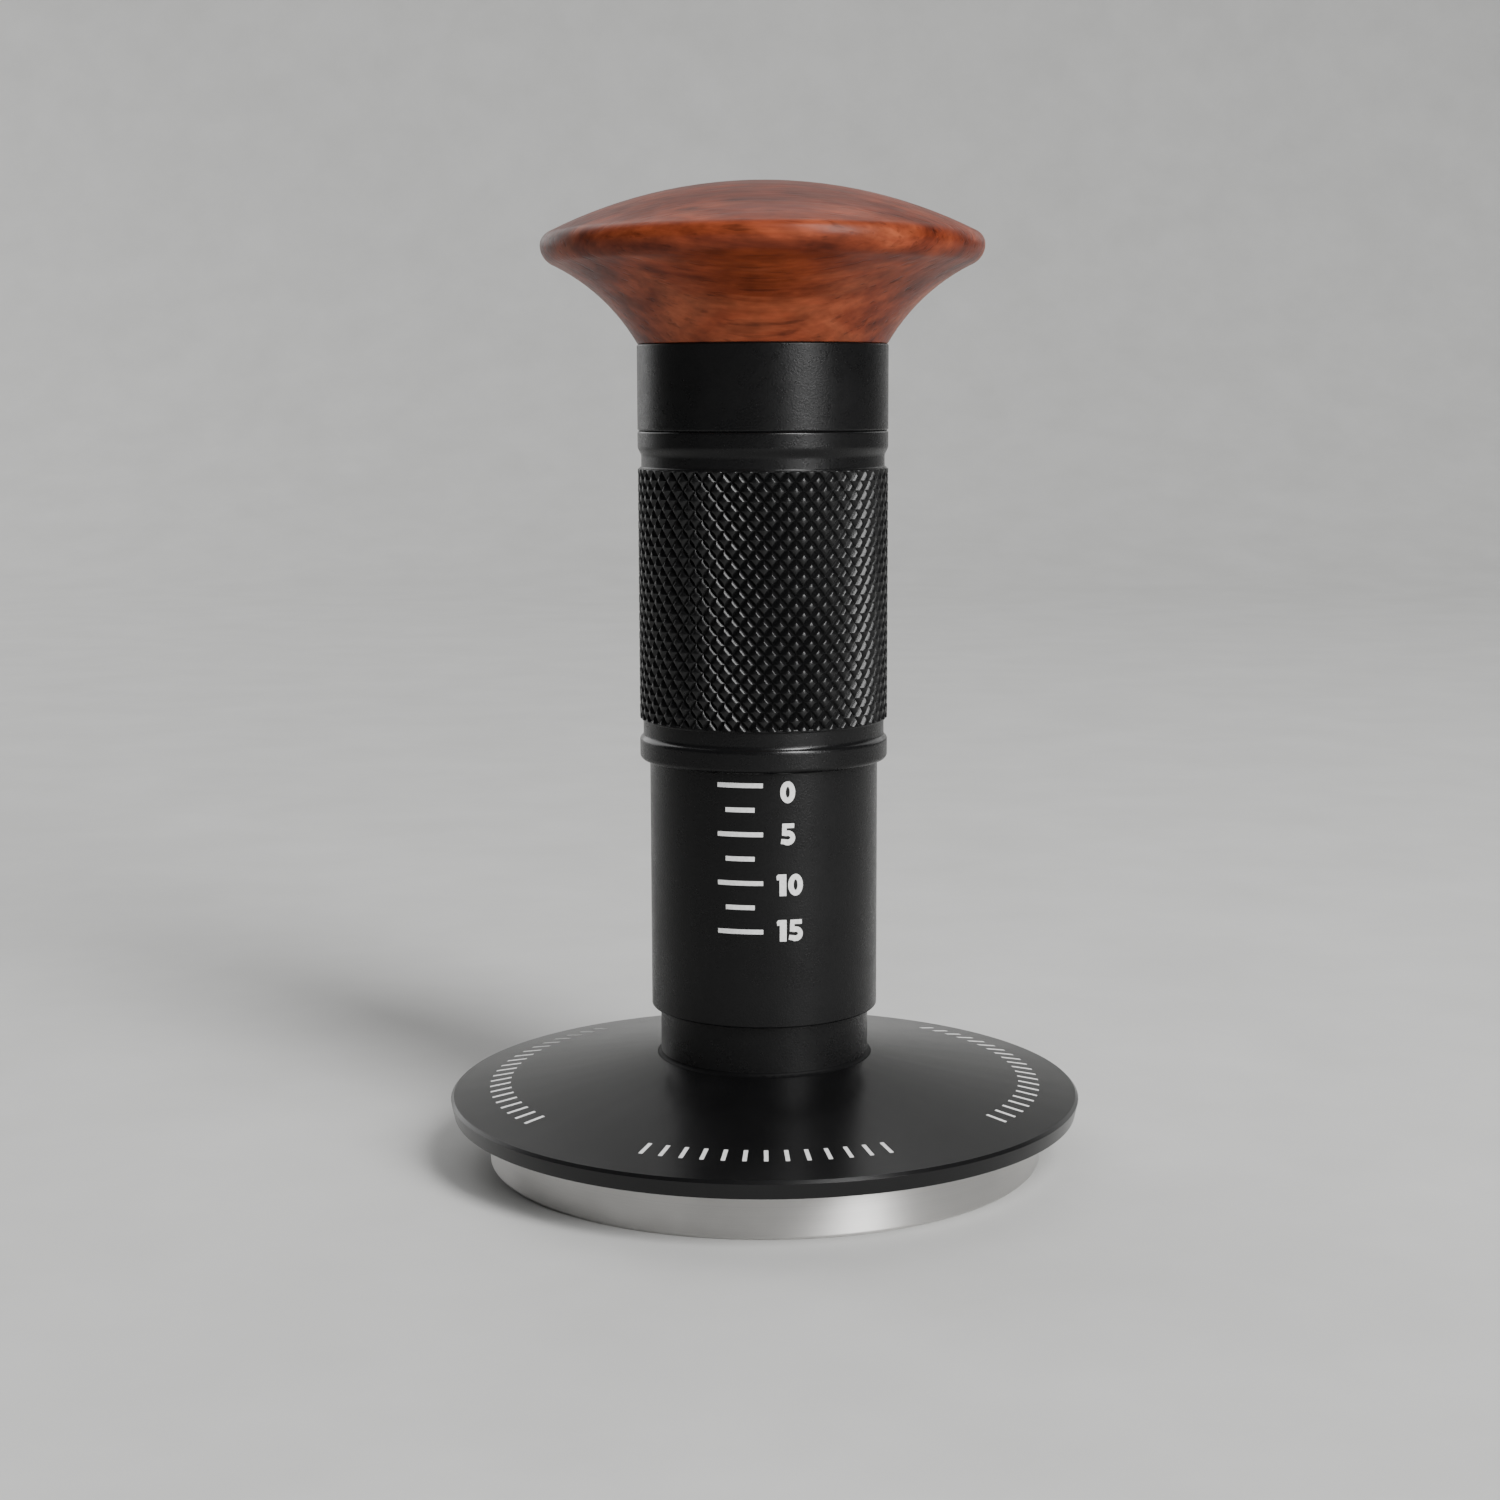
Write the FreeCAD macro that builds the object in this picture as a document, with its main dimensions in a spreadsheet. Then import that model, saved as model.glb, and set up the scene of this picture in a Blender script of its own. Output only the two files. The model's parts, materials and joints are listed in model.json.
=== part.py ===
"""Espresso tamper with a levelling flange, a sprung grip and a depth scale on its barrel.

Millimetres, +Z up, origin at the middle of the tamping face.
The steel base and its rod are the fixed part. The leveller (flange and barrel) and the grip
(knurled sleeve, collar and knob) both slide on the rod, each on its own spring.
"""
import FreeCAD, Part
import math
import os
import Sketcher

# Driving sizes. Each radius or length that can be chosen by itself is here once.
SIZES = {
    # clearances
    "running_gap": 0.05,        # bush on the rod
    "bearing_gap": 0.05,        # bush in its seat
    "ring_gap": 0.04,           # guide ring in the sleeve
    "sleeve_gap": 0.14,         # sleeve over the barrel
    "housing_gap": 0.5,         # spring housing inside the barrel
    "head_gap": 0.2,            # plunger head in the spring housing
    "spring_side_gap": 0.7,     # force spring in the spring housing
    "thread_gap": 0.05,         # between the two sides of a thread
    "glue_gap": 0.05,           # round the knob's insert
    "face_gap": 0.02,           # between faces pressed together in use
    "rest_gap": 0.06,           # between the moving groups at rest
    "end_gap": 0.5,             # left at the end of a stroke
    "tip_gap": 0.6,             # past the end of a screw or stud
    # strokes
    "leveller_travel": 15,
    "grip_travel": 6,
    # tamper base
    "base_radius": 29.25,
    "base_height": 5.3,
    "base_edge": 0.3,
    "hub_height": 2.7,
    "hub_margin": 1.6,
    # plunger rod and its fasteners
    "rod_radius": 4,
    "spigot_radius": 3,
    "spigot_length": 5,
    "groove_depth": 0.5,
    "clip_height": 0.8,
    "clip_wall": 1.6,
    "clip_angle": 320,
    "head_height": 3,
    "head_boss_height": 1.5,
    "head_screw_radius": 2,
    "head_screw_length": 11,
    "head_screw_head": 3.75,
    "head_socket": 2.5,
    "socket_depth": 1.6,
    # bushes, bumper and guide ring
    "bush_wall": 1.15,
    "bush_flange": 1.2,
    "bumper_wall": 2.5,
    "bumper_height": 1.5,
    "bumper_edge": 0.4,
    "guide_height": 2,
    "guide_depth": 1,
    "guide_angle": 356,
    # springs
    "force_coil": 6,
    "force_wire": 1.6,
    "force_length": 18.8,
    "force_turns": 6,
    "return_coil": 6.5,
    "return_wire": 0.8,
    "return_length": 22.8,
    "return_turns": 7,
    "seat_height": 1.2,
    "seat_margin": 0.5,
    "stem_length": 10,
    "stem_gap": 0.3,
    # levelling flange
    "flange_lip": 4.08,
    "flange_draft": 0.33,
    "flange_edge": 0.3,
    "flange_rim": 1.84,
    "flange_rise": 5.78,
    "neck_fillet": 0.4,
    "neck_step": 0.93,
    "neck_height": 5.31,
    # flange screws
    "screw_radius": 1.25,
    "screw_head": 2.35,
    "screw_length": 10,
    "screw_socket": 1.5,
    "screw_margin": 0.3,
    "screw_count": 3,
    # scale barrel
    "barrel_wall": 2.11,
    "barrel_length": 35.55,
    "barrel_floor": 3.55,
    "barrel_edge": 0.12,
    "scale_length": 26.3,
    # knurled sleeve
    "sleeve_wall": 0.88,
    "lip_height": 2.5,
    "lip_edge": 0.3,
    "lip_groove": 1.85,
    "sleeve_groove_depth": 0.36,
    "top_ring": 1.75,
    "top_bevel": 0.7,
    "top_groove": 1.45,
    "web_height": 1.55,
    # spring housing
    "housing_wall": 1.8,
    "housing_flange": 1.7,
    "bulkhead": 3,
    "plug_height": 3.2,
    "plug_socket": 5,
    "plug_socket_depth": 2.2,
    "plug_recess": 0.4,
    # collar and its ring
    "collar_roof": 1.94,
    "collar_roof_gap": 0.2,
    "collar_edge": 0.15,
    "boss_radius": 6,
    "boss_height": 4,
    "ring_wire": 0.9,
    "ring_land": 1.6,
    "ring_side_gap": 0.2,
    # knob
    "stud_radius": 3,
    "insert_radius": 4.5,
    "insert_height": 8,
    "boss_gap": 0.2,
    "knob_height": 16.36,
    "knob_radius": 22.68,
    "knob_foot_edge": 0.1,
    "dome_radius": 48.7,
    "rim_round": 1.43,
    "under_rim_round": 2.08,
    "under_rim_angle": 70,
    "underside_radius": 20,
}

# Radii and heights that follow from the driving sizes, bottom to top.
LEVELS = {
    # radii, from the rod outwards
    "bush_radius": "=Sizes.rod_radius + Sizes.running_gap + Sizes.bush_wall",
    "bush_seat": "=bush_radius + Sizes.bearing_gap",
    "bumper_radius": "=Sizes.rod_radius + Sizes.rest_gap + Sizes.bumper_wall",
    "hub_radius": "=bumper_radius + Sizes.hub_margin",
    "screw_circle": "=bush_seat + Sizes.screw_head + Sizes.screw_margin",
    "cavity_radius": "=screw_circle + Sizes.screw_head + Sizes.screw_margin",
    "return_radius": "=Sizes.return_coil + Sizes.return_wire / 2 + Sizes.seat_margin",
    "force_radius": "=Sizes.force_coil + Sizes.force_wire / 2",
    "housing_bore": "=force_radius + Sizes.spring_side_gap",
    "head_radius": "=housing_bore - Sizes.head_gap",
    "stem_radius": "=Sizes.force_coil - Sizes.force_wire / 2 - Sizes.stem_gap",
    "housing_radius": "=housing_bore + Sizes.housing_wall",
    "thread_bore": "=housing_radius + Sizes.thread_gap",
    "barrel_bore": "=housing_radius + Sizes.housing_gap",
    "barrel_radius": "=barrel_bore + Sizes.barrel_wall",
    "neck_radius": "=barrel_radius - Sizes.neck_step",
    "sleeve_bore": "=barrel_radius + Sizes.sleeve_gap",
    "sleeve_radius": "=sleeve_bore + Sizes.sleeve_wall",
    "groove_radius": "=sleeve_radius - Sizes.sleeve_groove_depth",
    "flange_radius": "=Sizes.base_radius + Sizes.flange_lip",
    "ring_radius": "=sleeve_radius - Sizes.ring_land - Sizes.ring_wire / 2",
    # base and flange
    "hub_top": "=Sizes.base_height + Sizes.hub_height",
    "spigot_bottom": "=hub_top - Sizes.spigot_length",
    "flange_bottom": "=Sizes.base_height + Sizes.rest_gap",
    "cavity_top": "=hub_top + Sizes.bumper_height + Sizes.rest_gap",
    "rim_top": "=flange_bottom + Sizes.flange_rim",
    "neck_foot": "=flange_bottom + Sizes.flange_rise",
    "neck_top": "=neck_foot + Sizes.neck_height",
    # barrel
    "barrel_floor_top": "=neck_top + Sizes.barrel_floor",
    "barrel_top": "=neck_top + Sizes.barrel_length",
    "guide_top": "=barrel_top - Sizes.end_gap",
    "guide_bottom": "=guide_top - Sizes.guide_height",
    "bush_top": "=barrel_floor_top + Sizes.face_gap + Sizes.bush_flange",
    # return spring and its seat
    "return_seat": "=bush_top + Sizes.return_length",
    "clip_bottom": "=return_seat + Sizes.seat_height",
    "clip_top": "=clip_bottom + Sizes.clip_height",
    # spring housing and plunger head
    "housing_bottom": "=clip_top + Sizes.grip_travel + Sizes.end_gap",
    "bulkhead_top": "=housing_bottom + Sizes.bulkhead",
    "housing_bush_top": "=bulkhead_top + Sizes.face_gap + Sizes.bush_flange",
    "head_bottom": "=housing_bush_top + Sizes.rest_gap",
    "head_top": "=head_bottom + Sizes.head_height",
    "head_boss_top": "=head_top + Sizes.head_boss_height",
    "force_top": "=head_top + Sizes.force_length",
    "upper_seat_top": "=force_top + Sizes.seat_height",
    "plug_top": "=upper_seat_top + Sizes.plug_height",
    "housing_top": "=plug_top + Sizes.plug_recess",
    # sleeve
    "stroke_top": "=barrel_top + Sizes.leveller_travel + Sizes.grip_travel + Sizes.end_gap",
    "web_bottom": "=stroke_top + Sizes.housing_flange",
    "sleeve_top": "=web_bottom + Sizes.web_height",
    "sleeve_bottom": "=neck_top + Sizes.scale_length",
    "lip_top": "=sleeve_bottom + Sizes.lip_height",
    "knurl_bottom": "=lip_top + Sizes.lip_groove",
    "ring_bottom": "=sleeve_top - Sizes.top_ring",
    "bevel_bottom": "=ring_bottom - Sizes.top_bevel",
    "knurl_top": "=bevel_bottom - Sizes.top_groove",
    # collar
    "roof_bottom": "=housing_top + Sizes.collar_roof_gap",
    "collar_top": "=roof_bottom + Sizes.collar_roof",
    "boss_top": "=collar_top + Sizes.boss_height",
    # knob: the dome and the rim's round are tangent to each other
    "insert_bottom": "=boss_top + Sizes.boss_gap",
    "insert_top": "=insert_bottom + Sizes.insert_height",
    "stud_bottom": "=housing_top + Sizes.tip_gap",
    "stud_top": "=insert_top - Sizes.tip_gap",
    "knob_top": "=collar_top + Sizes.knob_height",
    "dome_centre": "=knob_top - Sizes.dome_radius",
    "round_reach": "=Sizes.knob_radius - Sizes.rim_round",
    "dome_reach": "=Sizes.dome_radius - Sizes.rim_round",
    "round_rise": "=sqrt(dome_reach ^ 2 - round_reach ^ 2)",
    "rim_level": "=dome_centre + round_rise",
    "dome_end_radius": "=Sizes.dome_radius * round_reach / dome_reach",
    "dome_end_level": "=dome_centre + Sizes.dome_radius * round_rise / dome_reach",
    "under_centre": "=Sizes.knob_radius - Sizes.under_rim_round",
    "under_reach": "=under_centre + Sizes.under_rim_round * cos(Sizes.under_rim_angle * 1 deg)",
    "under_drop": "=rim_level - Sizes.under_rim_round * sin(Sizes.under_rim_angle * 1 deg)",
}

doc = FreeCAD.newDocument("espresso_tamper")


def add_sheet(name, cells):
    """Fills a spreadsheet with one aliased cell for each entry."""
    sheet = doc.addObject("Spreadsheet::Sheet", name)
    for row, (alias, content) in enumerate(cells.items(), start=1):
        sheet.set(f"A{row}", alias)
        sheet.setAlias(f"B{row}", alias)
        sheet.set(f"B{row}", str(content))
    doc.recompute()
    return sheet


sizes = add_sheet("Sizes", SIZES)
levels = add_sheet("Levels", LEVELS)


def value(expression):
    """The number that an expression of sheet aliases gives now."""
    return float(sizes.evalExpression(expression))


def origin_feature(body, role):
    return next(item for item in body.Origin.OriginFeatures if item.Role == role)


def new_body(name):
    body = doc.addObject("PartDesign::Body", name)
    body.Label = name
    return body


def new_sketch(body, plane, name):
    sketch = body.newObject("Sketcher::SketchObject", name)
    sketch.AttachmentSupport = [(origin_feature(body, plane), "")]
    sketch.MapMode = "FlatFace"
    return sketch


def bind(sketch, constraint, expression):
    """Adds a dimension to a sketch and ties it to the sheets."""
    index = sketch.addConstraint(constraint)
    sketch.setExpression(f"Constraints[{index}]", expression)


def place_point(sketch, edge, position, across, up):
    """Ties one end of an edge to a distance across and a distance up from the origin."""
    bind(sketch, Sketcher.Constraint("DistanceX", -1, 1, edge, position, value(across)), across)
    bind(sketch, Sketcher.Constraint("DistanceY", -1, 1, edge, position, value(up)), up)


def arc_between(start, end, radius, turn):
    """The short arc from start to end, its centre to the left of the way for a turn of 1."""
    chord = end - start
    half = chord.Length / 2
    left = FreeCAD.Vector(-chord.y, chord.x, 0).normalize()
    centre = start + chord / 2 + left * turn * math.sqrt(radius ** 2 - half ** 2)
    circle = Part.Circle(centre, FreeCAD.Vector(0, 0, 1), radius)
    first, last = (start, end) if turn > 0 else (end, start)
    angles = [math.atan2(point.y - centre.y, point.x - centre.x) for point in (first, last)]
    if angles[1] < angles[0]:
        angles[1] += 2 * math.pi
    return Part.ArcOfCircle(circle, angles[0], angles[1])


def outline(body, name, points):
    """A closed outline in the XZ plane.

    Each point is (radius, height), both expressions. A third and fourth item, the radius and
    the turn of 1 or -1, make the edge to the next point an arc.
    """
    sketch = new_sketch(body, "XZ_Plane", name)
    corners = [FreeCAD.Vector(value(point[0]), value(point[1]), 0) for point in points]
    ends = []
    for index, point in enumerate(points):
        start = corners[index]
        end = corners[(index + 1) % len(points)]
        if len(point) == 2:
            sketch.addGeometry(Part.LineSegment(start, end))
            ends.append((1, 2))
        else:
            sketch.addGeometry(arc_between(start, end, value(point[2]), point[3]))
            ends.append((1, 2) if point[3] > 0 else (2, 1))
    for index, point in enumerate(points):
        following = (index + 1) % len(points)
        joint = Sketcher.Constraint("Coincident", index, ends[index][1], following, ends[following][0])
        sketch.addConstraint(joint)
        place_point(sketch, index, ends[index][0], point[0], point[1])
        if len(point) > 2:
            bind(sketch, Sketcher.Constraint("Radius", index, value(point[2])), point[2])
    return sketch


def circle_outline(body, name, across, up, radius):
    """A circle in the XZ plane."""
    sketch = new_sketch(body, "XZ_Plane", name)
    centre = FreeCAD.Vector(value(across), value(up), 0)
    sketch.addGeometry(Part.Circle(centre, FreeCAD.Vector(0, 0, 1), value(radius)))
    place_point(sketch, 0, 3, across, up)
    bind(sketch, Sketcher.Constraint("Radius", 0, value(radius)), radius)
    return sketch


def hexagon(body, name, across, level, flats):
    """A hexagon of the given width across flats, level with the XY plane."""
    sketch = new_sketch(body, "XY_Plane", name)
    sketch.setExpression("AttachmentOffset.Base.z", level)
    reach = f"{flats} / sqrt(3)"
    centre = FreeCAD.Vector(value(across), 0, 0)
    corners = [centre + FreeCAD.Vector(value(reach) * math.cos(turn * math.pi / 3),
                                       value(reach) * math.sin(turn * math.pi / 3), 0)
               for turn in range(6)]
    for side in range(6):
        sketch.addGeometry(Part.LineSegment(corners[side], corners[(side + 1) % 6]))
    sketch.addGeometry(Part.Circle(centre, FreeCAD.Vector(0, 0, 1), value(reach)), True)
    for side in range(6):
        sketch.addConstraint(Sketcher.Constraint("Coincident", side, 2, (side + 1) % 6, 1))
        sketch.addConstraint(Sketcher.Constraint("PointOnObject", side, 1, 6))
    for side in range(5):
        sketch.addConstraint(Sketcher.Constraint("Equal", side, side + 1))
    sketch.addConstraint(Sketcher.Constraint("PointOnObject", 0, 1, -1))
    place_point(sketch, 6, 3, across, "0")
    bind(sketch, Sketcher.Constraint("Radius", 6, value(reach)), reach)
    return sketch


def turn_solid(body, sketch, angle="360"):
    """Revolves a sketch about the part's axis."""
    turned = body.newObject("PartDesign::Revolution", body.Name + "_turned")
    turned.Profile = sketch
    turned.ReferenceAxis = (sketch, ["V_Axis"])
    turned.setExpression("Angle", angle)
    return turned


def own_axis(sketch, across):
    """Adds an upright construction line to turn a hole or a screw about."""
    reach = value(across)
    line = Part.LineSegment(FreeCAD.Vector(reach, 0, 0), FreeCAD.Vector(reach, 1, 0))
    edge = sketch.addGeometry(line, True)
    place_point(sketch, edge, 1, across, "0")
    sketch.addConstraint(Sketcher.Constraint("Vertical", edge))
    bind(sketch, Sketcher.Constraint("DistanceY", edge, 1, edge, 2, 1), "1")
    return (sketch, ["Axis0"])


def cut_hole(body, name, across, points):
    """Cuts a turned hole whose axis stands at a distance across from the part's axis."""
    sketch = outline(body, name + "_outline", points)
    hole = body.newObject("PartDesign::Groove", name)
    hole.Profile = sketch
    hole.ReferenceAxis = own_axis(sketch, across)
    hole.Angle = 360
    return hole


def cut_socket(body, name, sketch, depth, upwards=False):
    """Cuts a hexagon socket, downwards unless told otherwise."""
    socket = body.newObject("PartDesign::Pocket", name)
    socket.Profile = sketch
    socket.Reversed = upwards
    socket.setExpression("Length", depth)
    return socket


def repeat_round(body, name, features, count):
    """Repeats features round the part's axis."""
    pattern = body.newObject("PartDesign::PolarPattern", name)
    pattern.Originals = features
    pattern.Axis = (origin_feature(body, "Z_Axis"), [""])
    pattern.Angle = 360
    pattern.setExpression("Occurrences", count)
    body.Tip = pattern
    return pattern


def ring_outline(body, inner, outer, bottom, top):
    """A plain rectangle for a washer, ring or tube."""
    points = [(inner, bottom), (outer, bottom), (outer, top), (inner, top)]
    return outline(body, body.Name + "_outline", points)


def helical_spring(name, coil, wire, bottom, height, turns):
    """A round wire spring that stands on its bottom level."""
    body = new_body(name)
    section = circle_outline(body, name + "_wire", coil, f"{bottom} + {wire} / 2 + Sizes.face_gap",
                             f"{wire} / 2")
    helix = body.newObject("PartDesign::AdditiveHelix", name + "_helix")
    helix.Profile = section
    helix.ReferenceAxis = (section, ["V_Axis"])
    helix.Mode = "height-turns-angle"
    helix.setExpression("Height", f"{height} - {wire} - 2 * Sizes.face_gap")
    helix.setExpression("Turns", turns)
    return body


def flanged_bush(name, bottom, flange_bottom, flange_radius):
    """A plain bearing on the rod with its thrust flange on top."""
    bore = "Sizes.rod_radius + Sizes.running_gap"
    flange_top = f"{flange_bottom} + Sizes.bush_flange"
    body = new_body(name)
    points = [(bore, bottom), ("Levels.bush_radius", bottom), ("Levels.bush_radius", flange_bottom),
              (flange_radius, flange_bottom), (flange_radius, flange_top), (bore, flange_top)]
    turn_solid(body, outline(body, name + "_outline", points))
    return body


# Tamper base: a steel disc with a hub that holds the rod.
def make_tamper_base():
    body = new_body("tamper_base")
    radius, edge = "Sizes.base_radius", "Sizes.base_edge"
    bore = "Sizes.spigot_radius + Sizes.thread_gap"
    bore_bottom = "Levels.spigot_bottom - Sizes.tip_gap"
    points = [("0", "0"), (f"{radius} - {edge}", "0"), (radius, edge),
              (radius, f"Sizes.base_height - {edge}"), (f"{radius} - {edge}", "Sizes.base_height"),
              ("Levels.hub_radius", "Sizes.base_height"), ("Levels.hub_radius", "Levels.hub_top"),
              (bore, "Levels.hub_top"), (bore, bore_bottom), ("0", bore_bottom)]
    turn_solid(body, outline(body, "base_outline", points))


# Plunger rod: a threaded spigot below, a clip groove, and a thread for the head screw on top.
def make_plunger_rod():
    body = new_body("plunger_rod")
    rod, spigot = "Sizes.rod_radius", "Sizes.spigot_radius"
    groove = "Sizes.rod_radius - Sizes.groove_depth"
    thread = "Sizes.head_screw_radius + Sizes.thread_gap"
    thread_bottom = "Levels.head_boss_top - Sizes.head_screw_length - Sizes.tip_gap"
    points = [("0", "Levels.spigot_bottom"), (spigot, "Levels.spigot_bottom"),
              (spigot, "Levels.hub_top"), (rod, "Levels.hub_top"),
              (rod, "Levels.clip_bottom"), (groove, "Levels.clip_bottom"),
              (groove, "Levels.clip_top"), (rod, "Levels.clip_top"),
              (rod, "Levels.head_bottom"), (thread, "Levels.head_bottom"),
              (thread, thread_bottom), ("0", thread_bottom)]
    turn_solid(body, outline(body, "rod_outline", points))


# Plunger head: the force spring stands on it, round its boss.
def make_plunger_head():
    body = new_body("plunger_head")
    boss, top = "Levels.stem_radius", "Levels.head_boss_top"
    bore = "Sizes.head_screw_radius + Sizes.thread_gap"
    sink = "Sizes.head_screw_head + Sizes.thread_gap"
    points = [(bore, "Levels.head_bottom"), ("Levels.head_radius", "Levels.head_bottom"),
              ("Levels.head_radius", "Levels.head_top"), (boss, "Levels.head_top"),
              (boss, top), (sink, top), (bore, f"{top} - ({sink} - ({bore}))")]
    turn_solid(body, outline(body, "head_outline", points))


def make_head_screw():
    body = new_body("head_screw")
    thread, head, face = "Sizes.head_screw_radius", "Sizes.head_screw_head", "Levels.head_boss_top"
    tip = f"{face} - Sizes.head_screw_length"
    neck = f"{face} - ({head} - {thread})"
    points = [("0", tip), (thread, tip), (thread, neck), (head, face), ("0", face)]
    turn_solid(body, outline(body, "head_screw_outline", points))
    socket = hexagon(body, "head_screw_hexagon", "0", "Levels.head_boss_top", "Sizes.head_socket")
    cut_socket(body, "head_screw_socket", socket, "Sizes.socket_depth")


# Return spring seat and the clip that holds it up.
def make_return_spring_seat():
    body = new_body("return_spring_seat")
    bore = "Sizes.rod_radius + Sizes.thread_gap"
    turn_solid(body, ring_outline(body, bore, "Levels.return_radius", "Levels.return_seat",
                                  "Levels.clip_bottom"))


def make_retaining_ring():
    body = new_body("retaining_ring")
    bore = "Sizes.rod_radius - Sizes.groove_depth + Sizes.face_gap"
    outer = "Sizes.rod_radius + Sizes.clip_wall"
    bottom, top = "Levels.clip_bottom + Sizes.face_gap", "Levels.clip_top - Sizes.face_gap"
    turn_solid(body, ring_outline(body, bore, outer, bottom, top), "Sizes.clip_angle")


def make_bumper_ring():
    body = new_body("bumper_ring")
    bore, outer = "Sizes.rod_radius + Sizes.rest_gap", "Levels.bumper_radius"
    bottom, top, edge = "Levels.hub_top", "Levels.hub_top + Sizes.bumper_height", "Sizes.bumper_edge"
    points = [(bore, bottom), (outer, bottom), (outer, f"{top} - {edge}", edge, 1),
              (f"{outer} - {edge}", top), (bore, top)]
    turn_solid(body, outline(body, "bumper_outline", points))


# Levelling flange: a shallow cone on the basket's rim, with the neck that carries the barrel.
def make_levelling_flange():
    body = new_body("levelling_flange")
    outer, edge, fillet = "Levels.flange_radius", "Sizes.flange_edge", "Sizes.neck_fillet"
    neck, foot = "Levels.neck_radius", "Levels.neck_foot"
    points = [("Levels.cavity_radius", "Levels.flange_bottom"),
              (f"{outer} - Sizes.flange_draft", "Levels.flange_bottom"),
              (outer, f"Levels.rim_top - {edge}"), (f"{outer} - {edge}", "Levels.rim_top"),
              (f"{neck} + {fillet}", foot, fillet, -1), (neck, f"{foot} + {fillet}"),
              (neck, "Levels.neck_top"), ("Levels.bush_seat", "Levels.neck_top"),
              ("Levels.bush_seat", "Levels.cavity_top"), ("Levels.cavity_radius", "Levels.cavity_top")]
    turn_solid(body, outline(body, "flange_outline", points))
    circle, gap = "Levels.screw_circle", "Sizes.thread_gap"
    shank, sink = f"Sizes.screw_radius + {gap}", f"Sizes.screw_head + {gap}"
    face = "Levels.cavity_top"
    hole = [(circle, face), (f"{circle} + {sink}", face),
            (f"{circle} + {shank}", f"{face} + Sizes.screw_head - Sizes.screw_radius"),
            (f"{circle} + {shank}", "Levels.neck_top"), (circle, "Levels.neck_top")]
    first = cut_hole(body, "flange_hole", circle, hole)
    repeat_round(body, "flange_holes", [first], "Sizes.screw_count")


def make_flange_screws():
    body = new_body("flange_screws")
    circle, face, shank = "Levels.screw_circle", "Levels.cavity_top", "Sizes.screw_radius"
    tip = f"{face} + Sizes.screw_length"
    points = [(circle, face), (f"{circle} + Sizes.screw_head", face),
              (f"{circle} + {shank}", f"{face} + Sizes.screw_head - {shank}"),
              (f"{circle} + {shank}", tip), (circle, tip)]
    sketch = outline(body, "flange_screw_outline", points)
    screw = body.newObject("PartDesign::Revolution", "flange_screw")
    screw.Profile = sketch
    screw.ReferenceAxis = own_axis(sketch, circle)
    screw.Angle = 360
    socket = hexagon(body, "flange_screw_hexagon", circle, face, "Sizes.screw_socket")
    cut = cut_socket(body, "flange_screw_socket", socket, "Sizes.socket_depth", upwards=True)
    repeat_round(body, "flange_screw_ring", [screw, cut], "Sizes.screw_count")


# Scale barrel: a cup that carries the depth scale; its top runs in the sleeve.
def make_scale_barrel():
    body = new_body("scale_barrel")
    outer, bore, edge = "Levels.barrel_radius", "Levels.barrel_bore", "Sizes.barrel_edge"
    bottom, top = "Levels.neck_top", "Levels.barrel_top"
    groove = "Levels.sleeve_bore - Sizes.ring_gap - Sizes.guide_depth - Sizes.face_gap"
    points = [("Levels.bush_seat", bottom), (f"{outer} - {edge}", bottom), (outer, f"{bottom} + {edge}"),
              (outer, "Levels.guide_bottom"), (groove, "Levels.guide_bottom"),
              (groove, "Levels.guide_top"), (outer, "Levels.guide_top"), (outer, top), (bore, top),
              (bore, "Levels.barrel_floor_top"), ("Levels.bush_seat", "Levels.barrel_floor_top")]
    turn_solid(body, outline(body, "barrel_outline", points))
    circle = "Levels.screw_circle"
    wall = f"{circle} + Sizes.screw_radius + Sizes.thread_gap"
    hole = [(circle, bottom), (wall, bottom), (wall, "Levels.barrel_floor_top"),
            (circle, "Levels.barrel_floor_top")]
    first = cut_hole(body, "barrel_hole", circle, hole)
    repeat_round(body, "barrel_holes", [first], "Sizes.screw_count")


def make_barrel_guide_ring():
    body = new_body("barrel_guide_ring")
    outer = "Levels.sleeve_bore - Sizes.ring_gap"
    bottom, top = "Levels.guide_bottom + Sizes.face_gap", "Levels.guide_top - Sizes.face_gap"
    turn_solid(body, ring_outline(body, f"{outer} - Sizes.guide_depth", outer, bottom, top),
               "Sizes.guide_angle")


# Knurled sleeve: the outer tube of the grip. The knurled band is a plain cylinder here.
def make_knurled_sleeve():
    body = new_body("knurled_sleeve")
    bore, outer, groove = "Levels.sleeve_bore", "Levels.sleeve_radius", "Levels.groove_radius"
    bottom, top, edge = "Levels.sleeve_bottom", "Levels.sleeve_top", "Sizes.lip_edge"
    depth, fine = "Sizes.sleeve_groove_depth", "Sizes.collar_edge"
    points = [(bore, bottom), (f"{outer} - {edge}", bottom), (outer, f"{bottom} + {edge}"),
              (outer, f"Levels.lip_top - {edge}"), (groove, f"Levels.lip_top - {edge} + {depth}"),
              (groove, "Levels.knurl_bottom"), (outer, "Levels.knurl_bottom"),
              (outer, "Levels.knurl_top"), (groove, "Levels.knurl_top"),
              (groove, "Levels.bevel_bottom"), (outer, "Levels.ring_bottom"),
              (outer, f"{top} - {fine}"), (f"{outer} - {fine}", top), ("Levels.thread_bore", top),
              ("Levels.thread_bore", "Levels.web_bottom"), (bore, "Levels.web_bottom")]
    turn_solid(body, outline(body, "sleeve_outline", points))


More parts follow.
